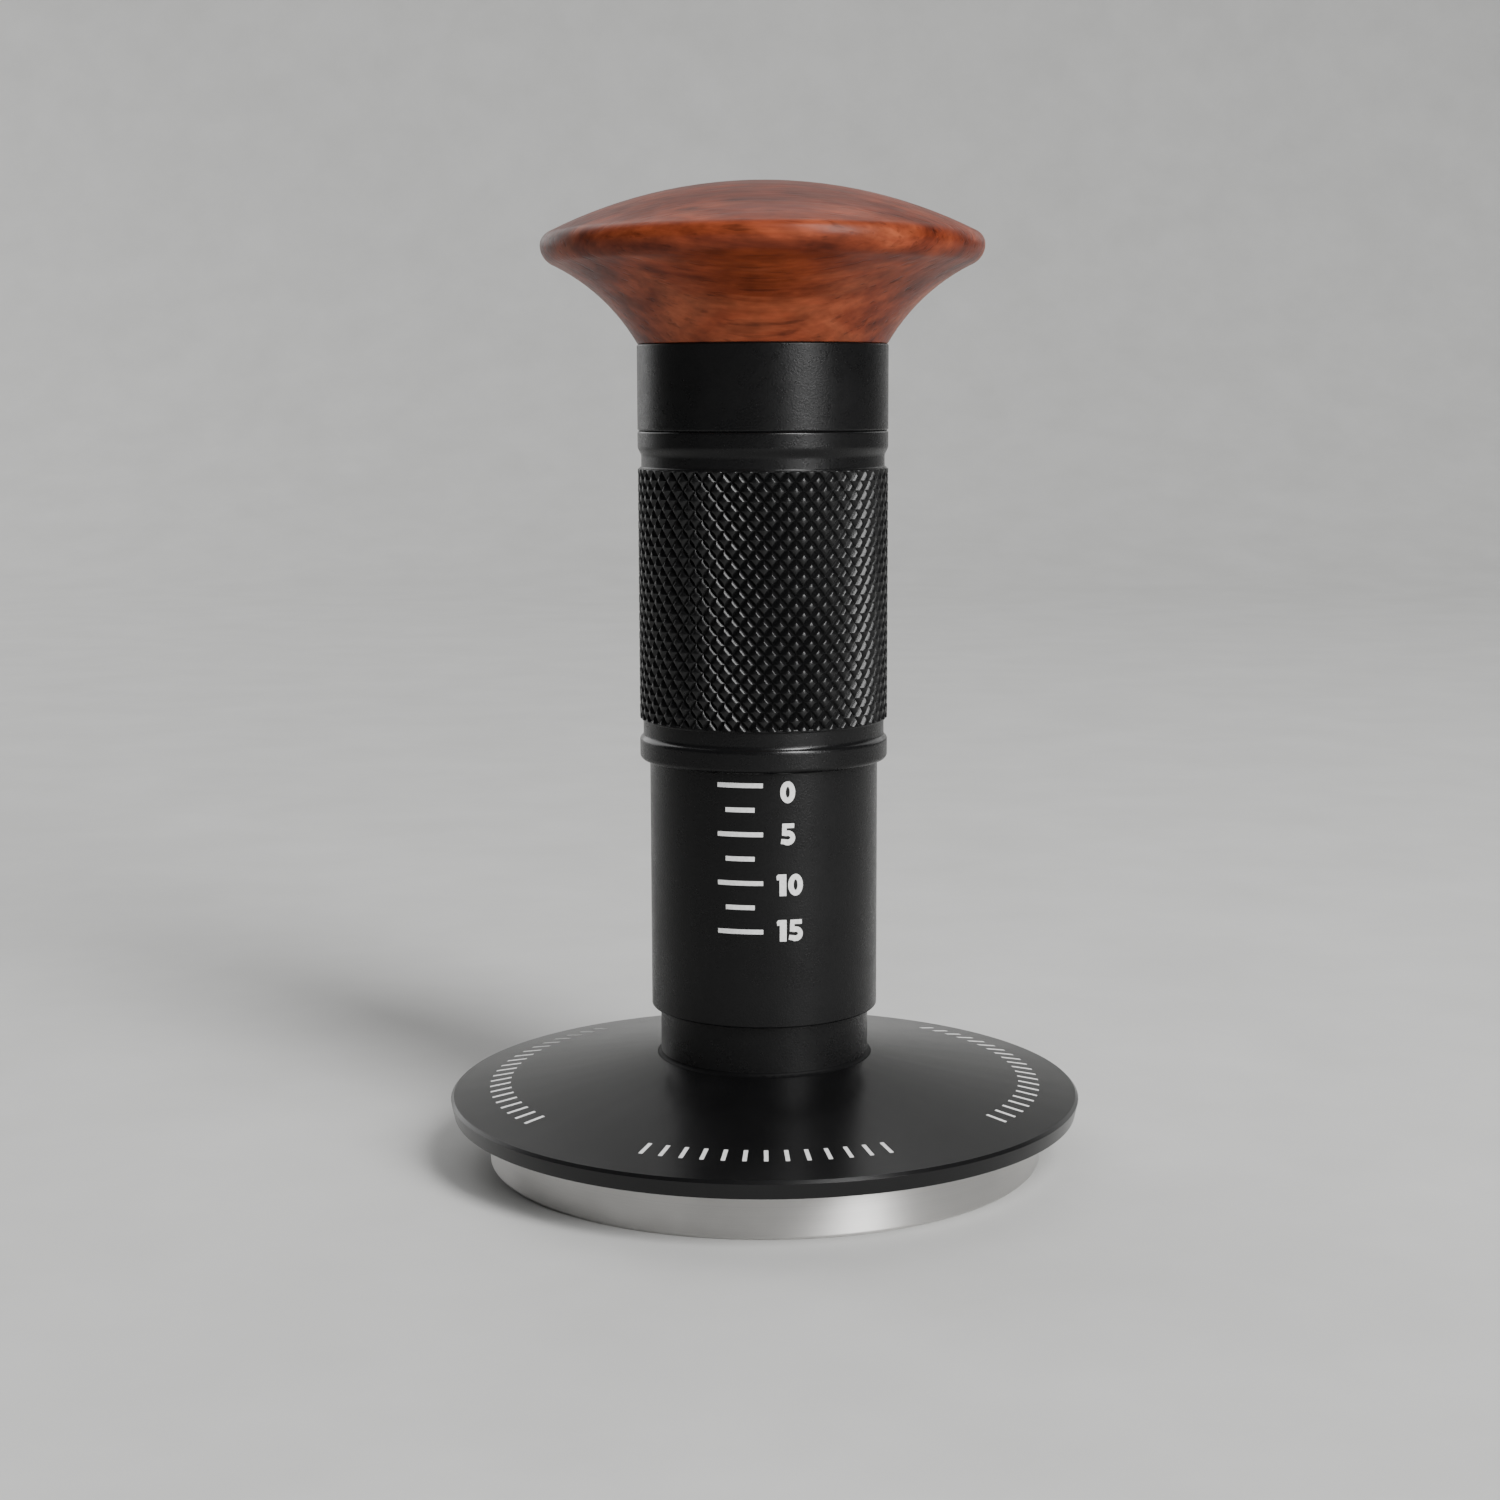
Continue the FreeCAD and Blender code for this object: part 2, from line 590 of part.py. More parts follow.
# Spring housing: the inner tube of the grip, hung by its flange under the sleeve's web.
def make_spring_housing():
    body = new_body("spring_housing")
    bore, outer, seat = "Levels.housing_bore", "Levels.housing_radius", "Levels.bush_seat"
    rim = "Levels.sleeve_bore - Sizes.head_gap"
    points = [(seat, "Levels.housing_bottom"), (outer, "Levels.housing_bottom"),
              (outer, "Levels.stroke_top"), (rim, "Levels.stroke_top"), (rim, "Levels.web_bottom"),
              (outer, "Levels.web_bottom"), (outer, "Levels.housing_top"),
              (bore, "Levels.housing_top"), (bore, "Levels.bulkhead_top"), (seat, "Levels.bulkhead_top")]
    turn_solid(body, outline(body, "housing_outline", points))


# Upper spring seat: a washer whose stem keeps the force spring straight.
def make_upper_spring_seat():
    body = new_body("upper_spring_seat")
    stem, top, under = "Levels.stem_radius", "Levels.upper_seat_top", "Levels.force_top"
    points = [("0", f"{under} - Sizes.stem_length"), (stem, f"{under} - Sizes.stem_length"),
              (stem, under), ("Levels.head_radius", under), ("Levels.head_radius", top), ("0", top)]
    turn_solid(body, outline(body, "upper_seat_outline", points))


# Preload plug: screws down on the seat to set the force.
def make_preload_plug():
    body = new_body("preload_plug")
    outer = "Levels.housing_bore - Sizes.thread_gap"
    turn_solid(body, ring_outline(body, "0", outer, "Levels.upper_seat_top", "Levels.plug_top"))
    socket = hexagon(body, "plug_hexagon", "0", "Levels.plug_top", "Sizes.plug_socket")
    cut_socket(body, "plug_socket", socket, "Sizes.plug_socket_depth")


# Top collar: clamps the sleeve to the housing and carries the knob on its boss.
def make_top_collar():
    body = new_body("top_collar")
    outer, edge, thread = "Levels.sleeve_radius", "Sizes.collar_edge", "Levels.thread_bore"
    bottom, top, boss = "Levels.sleeve_top", "Levels.collar_top", "Sizes.boss_radius"
    stud = "Sizes.stud_radius + Sizes.thread_gap"
    half = "Sizes.ring_wire / 2 + Sizes.ring_side_gap"
    roof = f"{bottom} + Sizes.ring_wire + Sizes.face_gap"
    points = [(thread, bottom), (f"Levels.ring_radius - ({half})", bottom),
              (f"Levels.ring_radius - ({half})", roof), (f"Levels.ring_radius + {half}", roof),
              (f"Levels.ring_radius + {half}", bottom), (f"{outer} - {edge}", bottom),
              (outer, f"{bottom} + {edge}"), (outer, f"{top} - {edge}"), (f"{outer} - {edge}", top),
              (boss, top), (boss, "Levels.boss_top"), (stud, "Levels.boss_top"),
              (stud, "Levels.roof_bottom"), (thread, "Levels.roof_bottom")]
    turn_solid(body, outline(body, "collar_outline", points))


def make_collar_o_ring():
    body = new_body("collar_o_ring")
    level = "Levels.sleeve_top + Sizes.ring_wire / 2 + Sizes.face_gap / 2"
    turn_solid(body, circle_outline(body, "o_ring_outline", "Levels.ring_radius", level,
                                    "Sizes.ring_wire / 2"))


def make_knob_stud():
    body = new_body("knob_stud")
    turn_solid(body, ring_outline(body, "0", "Sizes.stud_radius", "Levels.stud_bottom",
                                  "Levels.stud_top"))


def make_knob_insert():
    body = new_body("knob_insert")
    bore = "Sizes.stud_radius + Sizes.thread_gap"
    turn_solid(body, ring_outline(body, bore, "Sizes.insert_radius", "Levels.insert_bottom",
                                  "Levels.insert_top"))


# Knob: a shallow dome, a rounded rim and a hollow underside that meets the collar.
def make_wood_knob():
    body = new_body("wood_knob")
    boss = "Sizes.boss_radius + Sizes.glue_gap"
    insert = "Sizes.insert_radius + Sizes.glue_gap"
    pocket_top = "Levels.insert_top + Sizes.glue_gap"
    foot = "Levels.sleeve_radius - Sizes.knob_foot_edge"
    points = [("0", "Levels.knob_top"), ("0", pocket_top), (insert, pocket_top),
              (insert, "Levels.insert_bottom"), (boss, "Levels.insert_bottom"),
              (boss, "Levels.collar_top"),
              (foot, "Levels.collar_top", "Sizes.underside_radius", -1),
              ("Levels.under_reach", "Levels.under_drop", "Sizes.under_rim_round", 1),
              ("Sizes.knob_radius", "Levels.rim_level", "Sizes.rim_round", 1),
              ("Levels.dome_end_radius", "Levels.dome_end_level", "Sizes.dome_radius", 1)]
    turn_solid(body, outline(body, "knob_outline", points))


make_tamper_base()
make_plunger_rod()
make_plunger_head()
make_head_screw()
make_return_spring_seat()
make_retaining_ring()
make_bumper_ring()
helical_spring("return_spring", "Sizes.return_coil", "Sizes.return_wire", "Levels.bush_top",
               "Sizes.return_length", "Sizes.return_turns")
helical_spring("force_spring", "Sizes.force_coil", "Sizes.force_wire", "Levels.head_top",
               "Sizes.force_length", "Sizes.force_turns")
make_levelling_flange()
make_flange_screws()
make_scale_barrel()
make_barrel_guide_ring()
flanged_bush("barrel_bush", "Levels.cavity_top + Sizes.end_gap",
             "Levels.barrel_floor_top + Sizes.face_gap", "Levels.return_radius")
make_knurled_sleeve()
make_spring_housing()
flanged_bush("housing_bush", "Levels.housing_bottom", "Levels.bulkhead_top + Sizes.face_gap",
             "Levels.head_radius")
make_upper_spring_seat()
make_preload_plug()
make_top_collar()
make_collar_o_ring()
make_knob_stud()
make_knob_insert()
make_wood_knob()

doc.recompute()
for item in doc.Objects:
    if "Invalid" in item.State or "Error" in item.State:
        raise RuntimeError(f"{item.Label} failed: {item.State}")

os.makedirs("parts", exist_ok=True)
for body in doc.findObjects("PartDesign::Body"):
    if body.Shape.isNull() or not body.Shape.isValid():
        raise RuntimeError(f"{body.Label} has no valid shape")
    body.Shape.exportStep(f"parts/{body.Label}.step")
    print(f"{body.Label}: {len(body.Shape.Solids)} solid, {body.Shape.Volume:.1f} mm3")
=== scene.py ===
# %% [markdown]
# # An espresso tamper in wood, black aluminium and steel
#
# The tamper is a stack of turned pieces: a wooden knob, a black collar, a knurled sleeve, a
# barrel with a depth scale, a levelling flange and a steel base. The CAD frame already holds
# every piece at its real size and place. This lesson dresses that frame: it rebuilds the
# visible pieces with finer edges and real knurling, and gives each one its finish.

# %% Load the frame
import json
import math

import bmesh
import bpy
from mathutils import Matrix, Vector

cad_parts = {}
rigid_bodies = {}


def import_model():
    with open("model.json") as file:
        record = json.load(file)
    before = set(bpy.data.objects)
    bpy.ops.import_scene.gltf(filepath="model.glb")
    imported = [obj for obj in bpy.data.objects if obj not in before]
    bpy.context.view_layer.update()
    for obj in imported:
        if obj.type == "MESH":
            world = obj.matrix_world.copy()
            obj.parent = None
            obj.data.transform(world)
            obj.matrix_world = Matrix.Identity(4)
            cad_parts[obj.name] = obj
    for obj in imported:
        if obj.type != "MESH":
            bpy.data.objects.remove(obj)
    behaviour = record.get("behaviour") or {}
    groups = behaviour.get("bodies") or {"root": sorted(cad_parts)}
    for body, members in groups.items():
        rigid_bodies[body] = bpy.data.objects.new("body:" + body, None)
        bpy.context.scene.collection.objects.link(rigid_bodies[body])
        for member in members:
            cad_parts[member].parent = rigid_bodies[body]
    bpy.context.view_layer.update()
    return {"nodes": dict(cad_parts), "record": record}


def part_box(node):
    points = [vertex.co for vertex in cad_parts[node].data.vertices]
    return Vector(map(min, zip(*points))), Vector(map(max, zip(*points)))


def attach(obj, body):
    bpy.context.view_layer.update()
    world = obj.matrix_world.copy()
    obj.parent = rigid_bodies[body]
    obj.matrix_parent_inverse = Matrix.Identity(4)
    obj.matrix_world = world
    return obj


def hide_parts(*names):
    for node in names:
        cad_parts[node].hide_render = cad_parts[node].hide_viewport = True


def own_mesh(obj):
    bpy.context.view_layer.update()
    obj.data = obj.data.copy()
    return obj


for thing in list(bpy.data.objects):
    bpy.data.objects.remove(thing)
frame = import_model()
MM = 0.001
BODY_OF = {node: body for body, nodes in frame["record"]["behaviour"]["bodies"].items()
           for node in nodes}

# %% [markdown]
# ## Camera
#
# A product shot is taken with a long lens from a little above, so the upright sides stay
# nearly parallel. The camera stands a quarter of a metre away and looks down by eight degrees.

# %% Camera
CAMERA_PLACE = (-1.43 * MM, -262 * MM, 80.64 * MM)
CAMERA_DIP = 8.08
CAMERA_ROLL = -0.18
LENS = 60.48
SENSOR = 36

camera = bpy.data.objects.new("camera", bpy.data.cameras.new("camera"))
bpy.context.scene.collection.objects.link(camera)
camera.data.lens = LENS
camera.data.sensor_width = SENSOR
camera.data.clip_start = 1 * MM
camera.location = CAMERA_PLACE
turn_down = Matrix.Rotation(math.radians(90 - CAMERA_DIP), 4, "X")
turn_round = Matrix.Rotation(math.radians(CAMERA_ROLL), 4, "Z")
camera.rotation_euler = (turn_down @ turn_round).to_euler()
bpy.context.scene.camera = camera

# %% [markdown]
# ## Studio
#
# Black metal has almost no colour of its own: what we see on it is the room. A pale floor that
# curves up behind the tamper gives the soft grey edges, and one tall soft box to the right
# of the camera draws the single upright highlight down the barrel.

# %% Floor and backdrop
FLOOR_HALF_WIDTH = 2.0
FLOOR_FRONT = -1.6
FLOOR_BACK = 0.75
SWEEP_RADIUS = 0.35
WALL_TOP = 1.5
SWEEP_STEPS = 16


def mesh_object(name, mesh):
    """Puts a mesh in the scene as an object at the origin."""
    piece = bpy.data.objects.new(name, mesh)
    bpy.context.scene.collection.objects.link(piece)
    return piece


def mesh_from(name, shape):
    """Turns a bmesh into an object and frees it."""
    mesh = bpy.data.meshes.new(name)
    shape.to_mesh(mesh)
    shape.free()
    return mesh_object(name, mesh)


def backdrop():
    profile = [(FLOOR_FRONT, 0), (FLOOR_BACK, 0)]
    for step in range(1, SWEEP_STEPS + 1):
        angle = step / SWEEP_STEPS * math.pi / 2
        profile.append((FLOOR_BACK + SWEEP_RADIUS * math.sin(angle),
                        SWEEP_RADIUS * (1 - math.cos(angle))))
    profile.append((FLOOR_BACK + SWEEP_RADIUS, WALL_TOP))
    shape = bmesh.new()
    rows = [[shape.verts.new((side, y, z)) for y, z in profile]
            for side in (-FLOOR_HALF_WIDTH, FLOOR_HALF_WIDTH)]
    for step in range(len(profile) - 1):
        shape.faces.new((rows[0][step], rows[1][step], rows[1][step + 1], rows[0][step + 1]))
    piece = mesh_from("studio_floor", shape)
    piece.data.shade_smooth()
    return piece


floor = backdrop()

# %% Lights
# Each soft box is named, aimed at the tamper's middle, and sized in metres.
AIM = Vector((0, 0, 0.05))
SOFT_BOXES = {
    # name: (degrees right of the camera, degrees up, distance, width, height, watts)
    "key_box": (39, 33, 0.9, 0.28, 1.0, 17.0),
    "left_box": (-140, 24, 1.1, 0.8, 1.0, 4.2),
    "right_box": (140, 30, 1.1, 0.6, 1.0, 1.3),
    "top_box": (-160, 60, 1.2, 1.2, 0.8, 4.5),
}


def soft_box(name, right, up, distance, width, height, watts):
    light = bpy.data.lights.new(name, "AREA")
    light.shape = "RECTANGLE"
    light.size = width
    light.size_y = height
    light.energy = watts
    box = bpy.data.objects.new(name, light)
    bpy.context.scene.collection.objects.link(box)
    azimuth, lift = math.radians(right), math.radians(up)
    out = Vector((math.sin(azimuth) * math.cos(lift), -math.cos(azimuth) * math.cos(lift),
                  math.sin(lift)))
    box.location = AIM + out * distance
    box.rotation_euler = out.to_track_quat("Z", "Y").to_euler()
    box.visible_camera = False


for name, settings in SOFT_BOXES.items():
    soft_box(name, *settings)

world = bpy.data.worlds.new("studio_air")
bpy.context.scene.world = world
world.use_nodes = True
WORLD_GREY = (0.75, 0.76, 0.78, 1)
WORLD_STRENGTH = 0.08
world.node_tree.nodes["Background"].inputs["Color"].default_value = WORLD_GREY
world.node_tree.nodes["Background"].inputs["Strength"].default_value = WORLD_STRENGTH

# %% [markdown]
# ## Writing materials in few lines
#
# Every finish is a Principled shader with procedural detail. Two helpers keep the cells short:
# one adds a node and fills its inputs with numbers or links, the other starts a material.
# All patterns read Object coordinates, which are metres here, so a noise scale of 1000 gives
# detail of about one millimetre.

# %% Node helpers


def add(tree, kind, inputs=None, **settings):
    """Adds a node, sets its options, and fills its inputs by name or number."""
    node = tree.nodes.new(kind)
    for option, choice in settings.items():
        setattr(node, option, choice)
    for key, value in (inputs or {}).items():
        if isinstance(value, bpy.types.NodeSocket):
            tree.links.new(value, node.inputs[key])
        else:
            node.inputs[key].default_value = value
    return node


def sum_up(tree, operation, *values):
    """A Math node and its result."""
    return add(tree, "ShaderNodeMath", dict(enumerate(values)), operation=operation).outputs[0]


def new_finish(name, **shader):
    """A material whose Principled shader starts with these constants."""
    finish = bpy.data.materials.new(name)
    finish.use_nodes = True
    surface = finish.node_tree.nodes["Principled BSDF"]
    for label, value in shader.items():
        surface.inputs[label.replace("_", " ")].default_value = value
    return finish, finish.node_tree, surface


def colour_ramp(tree, factor, stops):
    """A Color Ramp through (place, colour) stops."""
    node = add(tree, "ShaderNodeValToRGB", {"Fac": factor})
    elements = node.color_ramp.elements
    while len(elements) < len(stops):
        elements.new(0.5)
    for element, (place, colour) in zip(elements, stops):
        element.position = place
        element.color = (*colour, 1)
    return node.outputs["Color"]


def noise(tree, place, scale, detail=2.0, roughness=0.5, distortion=0.0):
    return add(tree, "ShaderNodeTexNoise", {"Vector": place, "Scale": scale, "Detail": detail,
               "Roughness": roughness, "Distortion": distortion}).outputs[0]


def rescale(tree, value, low, high, to_low, to_high):
    """Maps one range of a value to another, clamped at its ends."""
    inputs = dict(enumerate((value, low, high, to_low, to_high)))
    return add(tree, "ShaderNodeMapRange", inputs).outputs[0]


def bump(tree, surface, height, depth, strength=1.0):
    """Feeds a height pattern to the shader; depth is in metres."""
    node = add(tree, "ShaderNodeBump", {"Height": height, "Distance": depth, "Strength": strength})
    tree.links.new(node.outputs["Normal"], surface.inputs["Normal"])


def object_place(tree, stretch=(1, 1, 1), turn=(0, 0, 0)):
    """Object coordinates through a Mapping node."""
    place = add(tree, "ShaderNodeTexCoord").outputs["Object"]
    turns = [math.radians(angle) for angle in turn]
    return add(tree, "ShaderNodeMapping", {"Vector": place, "Rotation": turns,
               "Scale": stretch}).outputs["Vector"]


# %% [markdown]
# ## Wood
#
# The knob is turned from a red-brown hardwood with its grain lying across the turning axis.
# So the pattern is stretched along X: wide dark and light streaks, growth rings round a far
# pith, flecks where the fibres turn, and fine dark pores a few millimetres long. A thin oil
# finish gives a satin coat.

# %% Wood finish
WOOD_DEEP = (0.035, 0.0070, 0.0040)
WOOD_MID = (0.115, 0.0210, 0.0090)
WOOD_WARM = (0.195, 0.0400, 0.0160)
WOOD_BRIGHT = (0.310, 0.0820, 0.0360)
WOOD_TURN = (0, 5, 9)
RING_TURN = (0, 4, 12)
FIGURE_SCALE = 135
RING_SCALE = 62
FIBRE_SCALE = 2300
PORE_SCALE = 1500
FLECK_SCALE = 760


def wood_finish():
    finish, tree, surface = new_finish("oiled_hardwood", Coat_Weight=0.05, Coat_Roughness=0.20,
                                       Specular_IOR_Level=0.10)
    along = object_place(tree, stretch=(0.16, 1, 1), turn=WOOD_TURN)
    figure = noise(tree, along, FIGURE_SCALE, detail=5, roughness=0.62, distortion=0.9)
    colour = colour_ramp(tree, figure, [(0.26, WOOD_DEEP), (0.42, WOOD_MID), (0.55, WOOD_WARM),
                                        (0.72, WOOD_BRIGHT)])
    rings = add(tree, "ShaderNodeTexWave", {"Vector": object_place(tree, turn=RING_TURN),
                "Scale": RING_SCALE, "Distortion": 6.5, "Detail": 4, "Detail Scale": 2.4,
                "Detail Roughness": 0.6}, wave_type="RINGS", rings_direction="X").outputs["Fac"]
    fibre_place = object_place(tree, stretch=(0.06, 1, 1), turn=WOOD_TURN)
    fibre = noise(tree, fibre_place, FIBRE_SCALE, detail=3, roughness=0.7)
    pores = rescale(tree, noise(tree, fibre_place, PORE_SCALE, detail=2), 0.60, 0.68, 0, 1)
    fleck_place = object_place(tree, stretch=(0.40, 1, 1), turn=WOOD_TURN)
    fleck = noise(tree, fleck_place, FLECK_SCALE, detail=2)
    shade = sum_up(tree, "ADD", rescale(tree, rings, 0, 1, 0.80, 1.04),
                   rescale(tree, fibre, 0.3, 0.7, -0.10, 0.10))
    shade = sum_up(tree, "ADD", shade, rescale(tree, fleck, 0.38, 0.62, -0.15, 0.15))
    shade = sum_up(tree, "SUBTRACT", shade, sum_up(tree, "MULTIPLY", pores, 0.26))
    toned = add(tree, "ShaderNodeVectorMath", {0: colour, "Scale": shade}, operation="SCALE")
    tree.links.new(toned.outputs[0], surface.inputs["Base Color"])
    tree.links.new(rescale(tree, fibre, 0.3, 0.7, 0.30, 0.44), surface.inputs["Roughness"])
    height = sum_up(tree, "SUBTRACT", sum_up(tree, "MULTIPLY", fibre, 0.3), pores)
    bump(tree, surface, height, 0.02 * MM, 0.6)
    return finish


# %% [markdown]
# ## Black aluminium
#
# The collar, sleeve and barrel are bead-blasted before they are anodised: thousands of tiny
# dents make the highlight sparkle. The flange is only lightly blasted, so it is glossier.
# One function makes every black, with the grain, the gloss and the wear as its arguments.

# %% Black finishes
CLOUD_SCALE = 110
RUB_SCALE = 900
BLACK_LOW = (0.0035, 0.0035, 0.0037)
BLACK_HIGH = (0.0065, 0.0065, 0.0067)


def black_finish(name, roughness, grain_depth, grain_scale, shine, wear):
    finish, tree, surface = new_finish(name, Specular_IOR_Level=shine)
    place = object_place(tree)
    grain = noise(tree, place, grain_scale, detail=3, roughness=0.65)
    cloud = noise(tree, place, CLOUD_SCALE, detail=3)
    rub = noise(tree, place, RUB_SCALE, detail=4, roughness=0.7)
    tone = colour_ramp(tree, sum_up(tree, "MULTIPLY", cloud, grain),
                       [(0.12, BLACK_LOW), (0.42, BLACK_HIGH)])
    tree.links.new(tone, surface.inputs["Base Color"])
    varied = sum_up(tree, "ADD", rescale(tree, cloud, 0.3, 0.7, roughness - wear, roughness + wear),
                    rescale(tree, rub, 0.35, 0.7, -wear, wear))
    tree.links.new(varied, surface.inputs["Roughness"])
    bump(tree, surface, grain, grain_depth)
    return finish


# %% [markdown]
# ## Steel, brass, rubber and plastic
#
# Turned steel carries fine rings left by the tool. They lie at one height on an upright wall
# and at one radius on a flat face, so the pattern reads the height plus the distance from the
# axis, and nothing else.

# %% Turned metal finish
LINE_SCALE = 7000
LINE_SHADE = 0.86
SMUDGE_SCALE = 140


def turned_metal_finish(name, colour, roughness, line_depth=0.004 * MM):
    finish, tree, surface = new_finish(name, Metallic=1.0, Anisotropic=0.85,
                                       Anisotropic_Rotation=0.25)
    place = add(tree, "ShaderNodeTexCoord").outputs["Object"]
    flat = add(tree, "ShaderNodeVectorMath", {0: place, 1: (1, 1, 0)}, operation="MULTIPLY")
    round_way = add(tree, "ShaderNodeVectorMath", {0: (0, 0, 1), 1: flat.outputs[0]},
                    operation="CROSS_PRODUCT").outputs[0]
    tangent = add(tree, "ShaderNodeVectorTransform", {0: round_way}, vector_type="VECTOR",
                  convert_from="OBJECT", convert_to="WORLD").outputs[0]
    tree.links.new(tangent, surface.inputs["Tangent"])
    radius = add(tree, "ShaderNodeVectorMath", {0: flat.outputs[0]}, operation="LENGTH").outputs[1]
    split = add(tree, "ShaderNodeSeparateXYZ", {0: place}).outputs
    along = add(tree, "ShaderNodeCombineXYZ", {0: radius, 2: split[2]}).outputs[0]
    lines = noise(tree, along, LINE_SCALE, detail=4, roughness=0.75)
    smudge = noise(tree, place, SMUDGE_SCALE, detail=4, roughness=0.6)
    shaded = tuple(LINE_SHADE * part for part in colour)
    tone = colour_ramp(tree, lines, [(0.25, shaded), (0.75, colour)])
    tree.links.new(tone, surface.inputs["Base Color"])
    rough = sum_up(tree, "ADD", rescale(tree, smudge, 0.3, 0.7, roughness - 0.03, roughness + 0.04),
                   rescale(tree, lines, 0.3, 0.7, -0.03, 0.03))
    tree.links.new(rough, surface.inputs["Roughness"])
    bump(tree, surface, lines, line_depth)
    return finish


# %% Plain finishes


def plain_finish(name, dark, pale, roughness, scale=900, depth=0.01 * MM, **shader):
    """A moulded or drawn surface: slight mottling in colour, gloss and height."""
    finish, tree, surface = new_finish(name, **shader)
    place = object_place(tree)
    mottle = noise(tree, place, scale, detail=4, roughness=0.6)
    tree.links.new(colour_ramp(tree, mottle, [(0.3, dark), (0.7, pale)]),
                   surface.inputs["Base Color"])
    tree.links.new(rescale(tree, mottle, 0.3, 0.7, roughness - 0.04, roughness + 0.04),
                   surface.inputs["Roughness"])
    bump(tree, surface, mottle, depth)
    return finish


FINISHES = {
    "hardwood": wood_finish(),
    "black_anodised": black_finish("blasted_black", 0.30, 0.030 * MM, 5000, 0.20, 0.040),
    "black_flange": black_finish("satin_black", 0.25, 0.0008 * MM, 5200, 0.32, 0.010),
    "turned_steel": turned_metal_finish("turned_steel", (0.66, 0.65, 0.635), 0.40),
    "brass": turned_metal_finish("turned_brass", (0.72, 0.50, 0.20), 0.36),
    "screw_steel": plain_finish("screw_steel", (0.30, 0.30, 0.31), (0.52, 0.52, 0.53), 0.34,
                                Metallic=1.0),
    "spring_steel": plain_finish("spring_steel", (0.26, 0.26, 0.27), (0.44, 0.44, 0.46), 0.30,
                                 scale=2600, Metallic=1.0),
    "bearing_plastic": plain_finish("acetal", (0.70, 0.68, 0.61), (0.80, 0.78, 0.72), 0.42),
    "rubber": plain_finish("black_rubber", (0.010, 0.010, 0.010), (0.022, 0.022, 0.021), 0.62,
                           scale=2400, depth=0.02 * MM),
}
PRINT = plain_finish("white_print", (0.66, 0.66, 0.65), (0.86, 0.86, 0.85), 0.5, scale=3800,
                     depth=0.004 * MM)
FLOOR_FINISH = plain_finish("studio_paper", (0.53, 0.53, 0.52), (0.58, 0.58, 0.57), 0.75,
                            scale=40, depth=0.05 * MM)
floor.data.materials.append(FLOOR_FINISH)
SLOT_OF = {part["node"]: part["material_slot"] for part in frame["record"]["subparts"]}
for node, part in frame["nodes"].items():
    part.data.materials.clear()
    part.data.materials.append(FINISHES[SLOT_OF[node]])
print("finishes:", ", ".join(FINISHES))

# %% [markdown]
# ## Reading a turned piece's outline from the frame
#
# A turned piece is fully described by one outline. Rather than type its sizes again, we cut the
# CAD mesh with the half plane where its turning began and walk along the cut. The result is
# a list of (radius, height) points that always agrees with the frame.

# %% Outline helpers
WELD = 0.002 * MM
STRAIGHT_WITHIN = 0.4
SUPPORT_REACH = 1.5


def section_of(node):
    """The (radius, height) points of a CAD node's outline, in order, on the +X side."""
    shape = bmesh.new()
    shape.from_mesh(frame["nodes"][node].data)
    bmesh.ops.remove_doubles(shape, verts=shape.verts, dist=WELD)
    everything = shape.verts[:] + shape.edges[:] + shape.faces[:]
    bmesh.ops.bisect_plane(shape, geom=everything, dist=WELD, plane_co=(0, 0, 0),
                           plane_no=(0, 1, 0), clear_outer=True, clear_inner=True)
    far = [vert for vert in shape.verts if vert.co.x < -WELD]
    bmesh.ops.delete(shape, geom=far, context="VERTS")
    ends = [vert for vert in shape.verts if len(vert.link_edges) == 1]
    start = min(ends, key=lambda vert: vert.co.z) if ends else shape.verts[:][0]
    walked, here, before = [start], start, None
    while True:
        ways = [edge.other_vert(here) for edge in here.link_edges]
        ways = [vert for vert in ways if vert is not before and vert not in walked]
        if not ways:
            break
        before, here = here, ways[0]
        walked.append(here)
    points = []
    for vert in walked:
        point = Vector((max(vert.co.x, 0), vert.co.z))
        if not points or (point - points[-1]).length > WELD:
            points.append(point)
    shape.free()
    if ends:
        # A flat cap has no point in its middle, so each open end is carried on to the axis.
        if points[0].x > WELD:
            points.insert(0, Vector((0, points[0].y)))
        if points[-1].x > WELD:
            points.append(Vector((0, points[-1].y)))
    return points, not ends


def straightened(points, closed):
    """Drops points that lie on a straight run between their neighbours."""
    kept = []
    for index, here in enumerate(points):
        if not closed and index in (0, len(points) - 1):
            kept.append(here)
            continue
        before = kept[-1] if kept else points[-1]
        after = points[(index + 1) % len(points)]
        if (here - before).angle(after - here, 0) > math.radians(STRAIGHT_WITHIN):
            kept.append(here)
    return kept


def eased(points, closed, reach, corner=20, steps=4, most=0.32):
    """Rounds each real corner over a short reach, with a support point on each side.

    The reach never takes more of a neighbouring run than the share called most. The support
    points keep the shading of the long flat runs flat.
    """
    result = []
    for index, here in enumerate(points):
        if not closed and index in (0, len(points) - 1):
            result.append(here)
            continue
        back, ahead = points[index - 1] - here, points[(index + 1) % len(points)] - here
        if math.pi - back.angle(ahead) < math.radians(corner):
            result.append(here)
            continue
        span = min(reach, most * back.length, most * ahead.length)
        first, last = here + back.normalized() * span, here + ahead.normalized() * span
        support = min(SUPPORT_REACH * span, 0.5 * min(back.length, ahead.length))
        result.append(here + back.normalized() * support)
        for step in range(steps + 1):
            share = step / steps
            result.append(first.lerp(here, share).lerp(here.lerp(last, share), share))
        result.append(here + ahead.normalized() * support)
    return result


# %% [markdown]
# ## A lathe in Geometry Nodes
#
# Curve to Mesh sweeps a profile along a path. With a circle as the path it is a lathe. The
# profile arrives as the modifier's own mesh, drawn flat, with its distance from the circle as X
# and its height as Y. The sizes are named inputs, so one tree turns every piece.

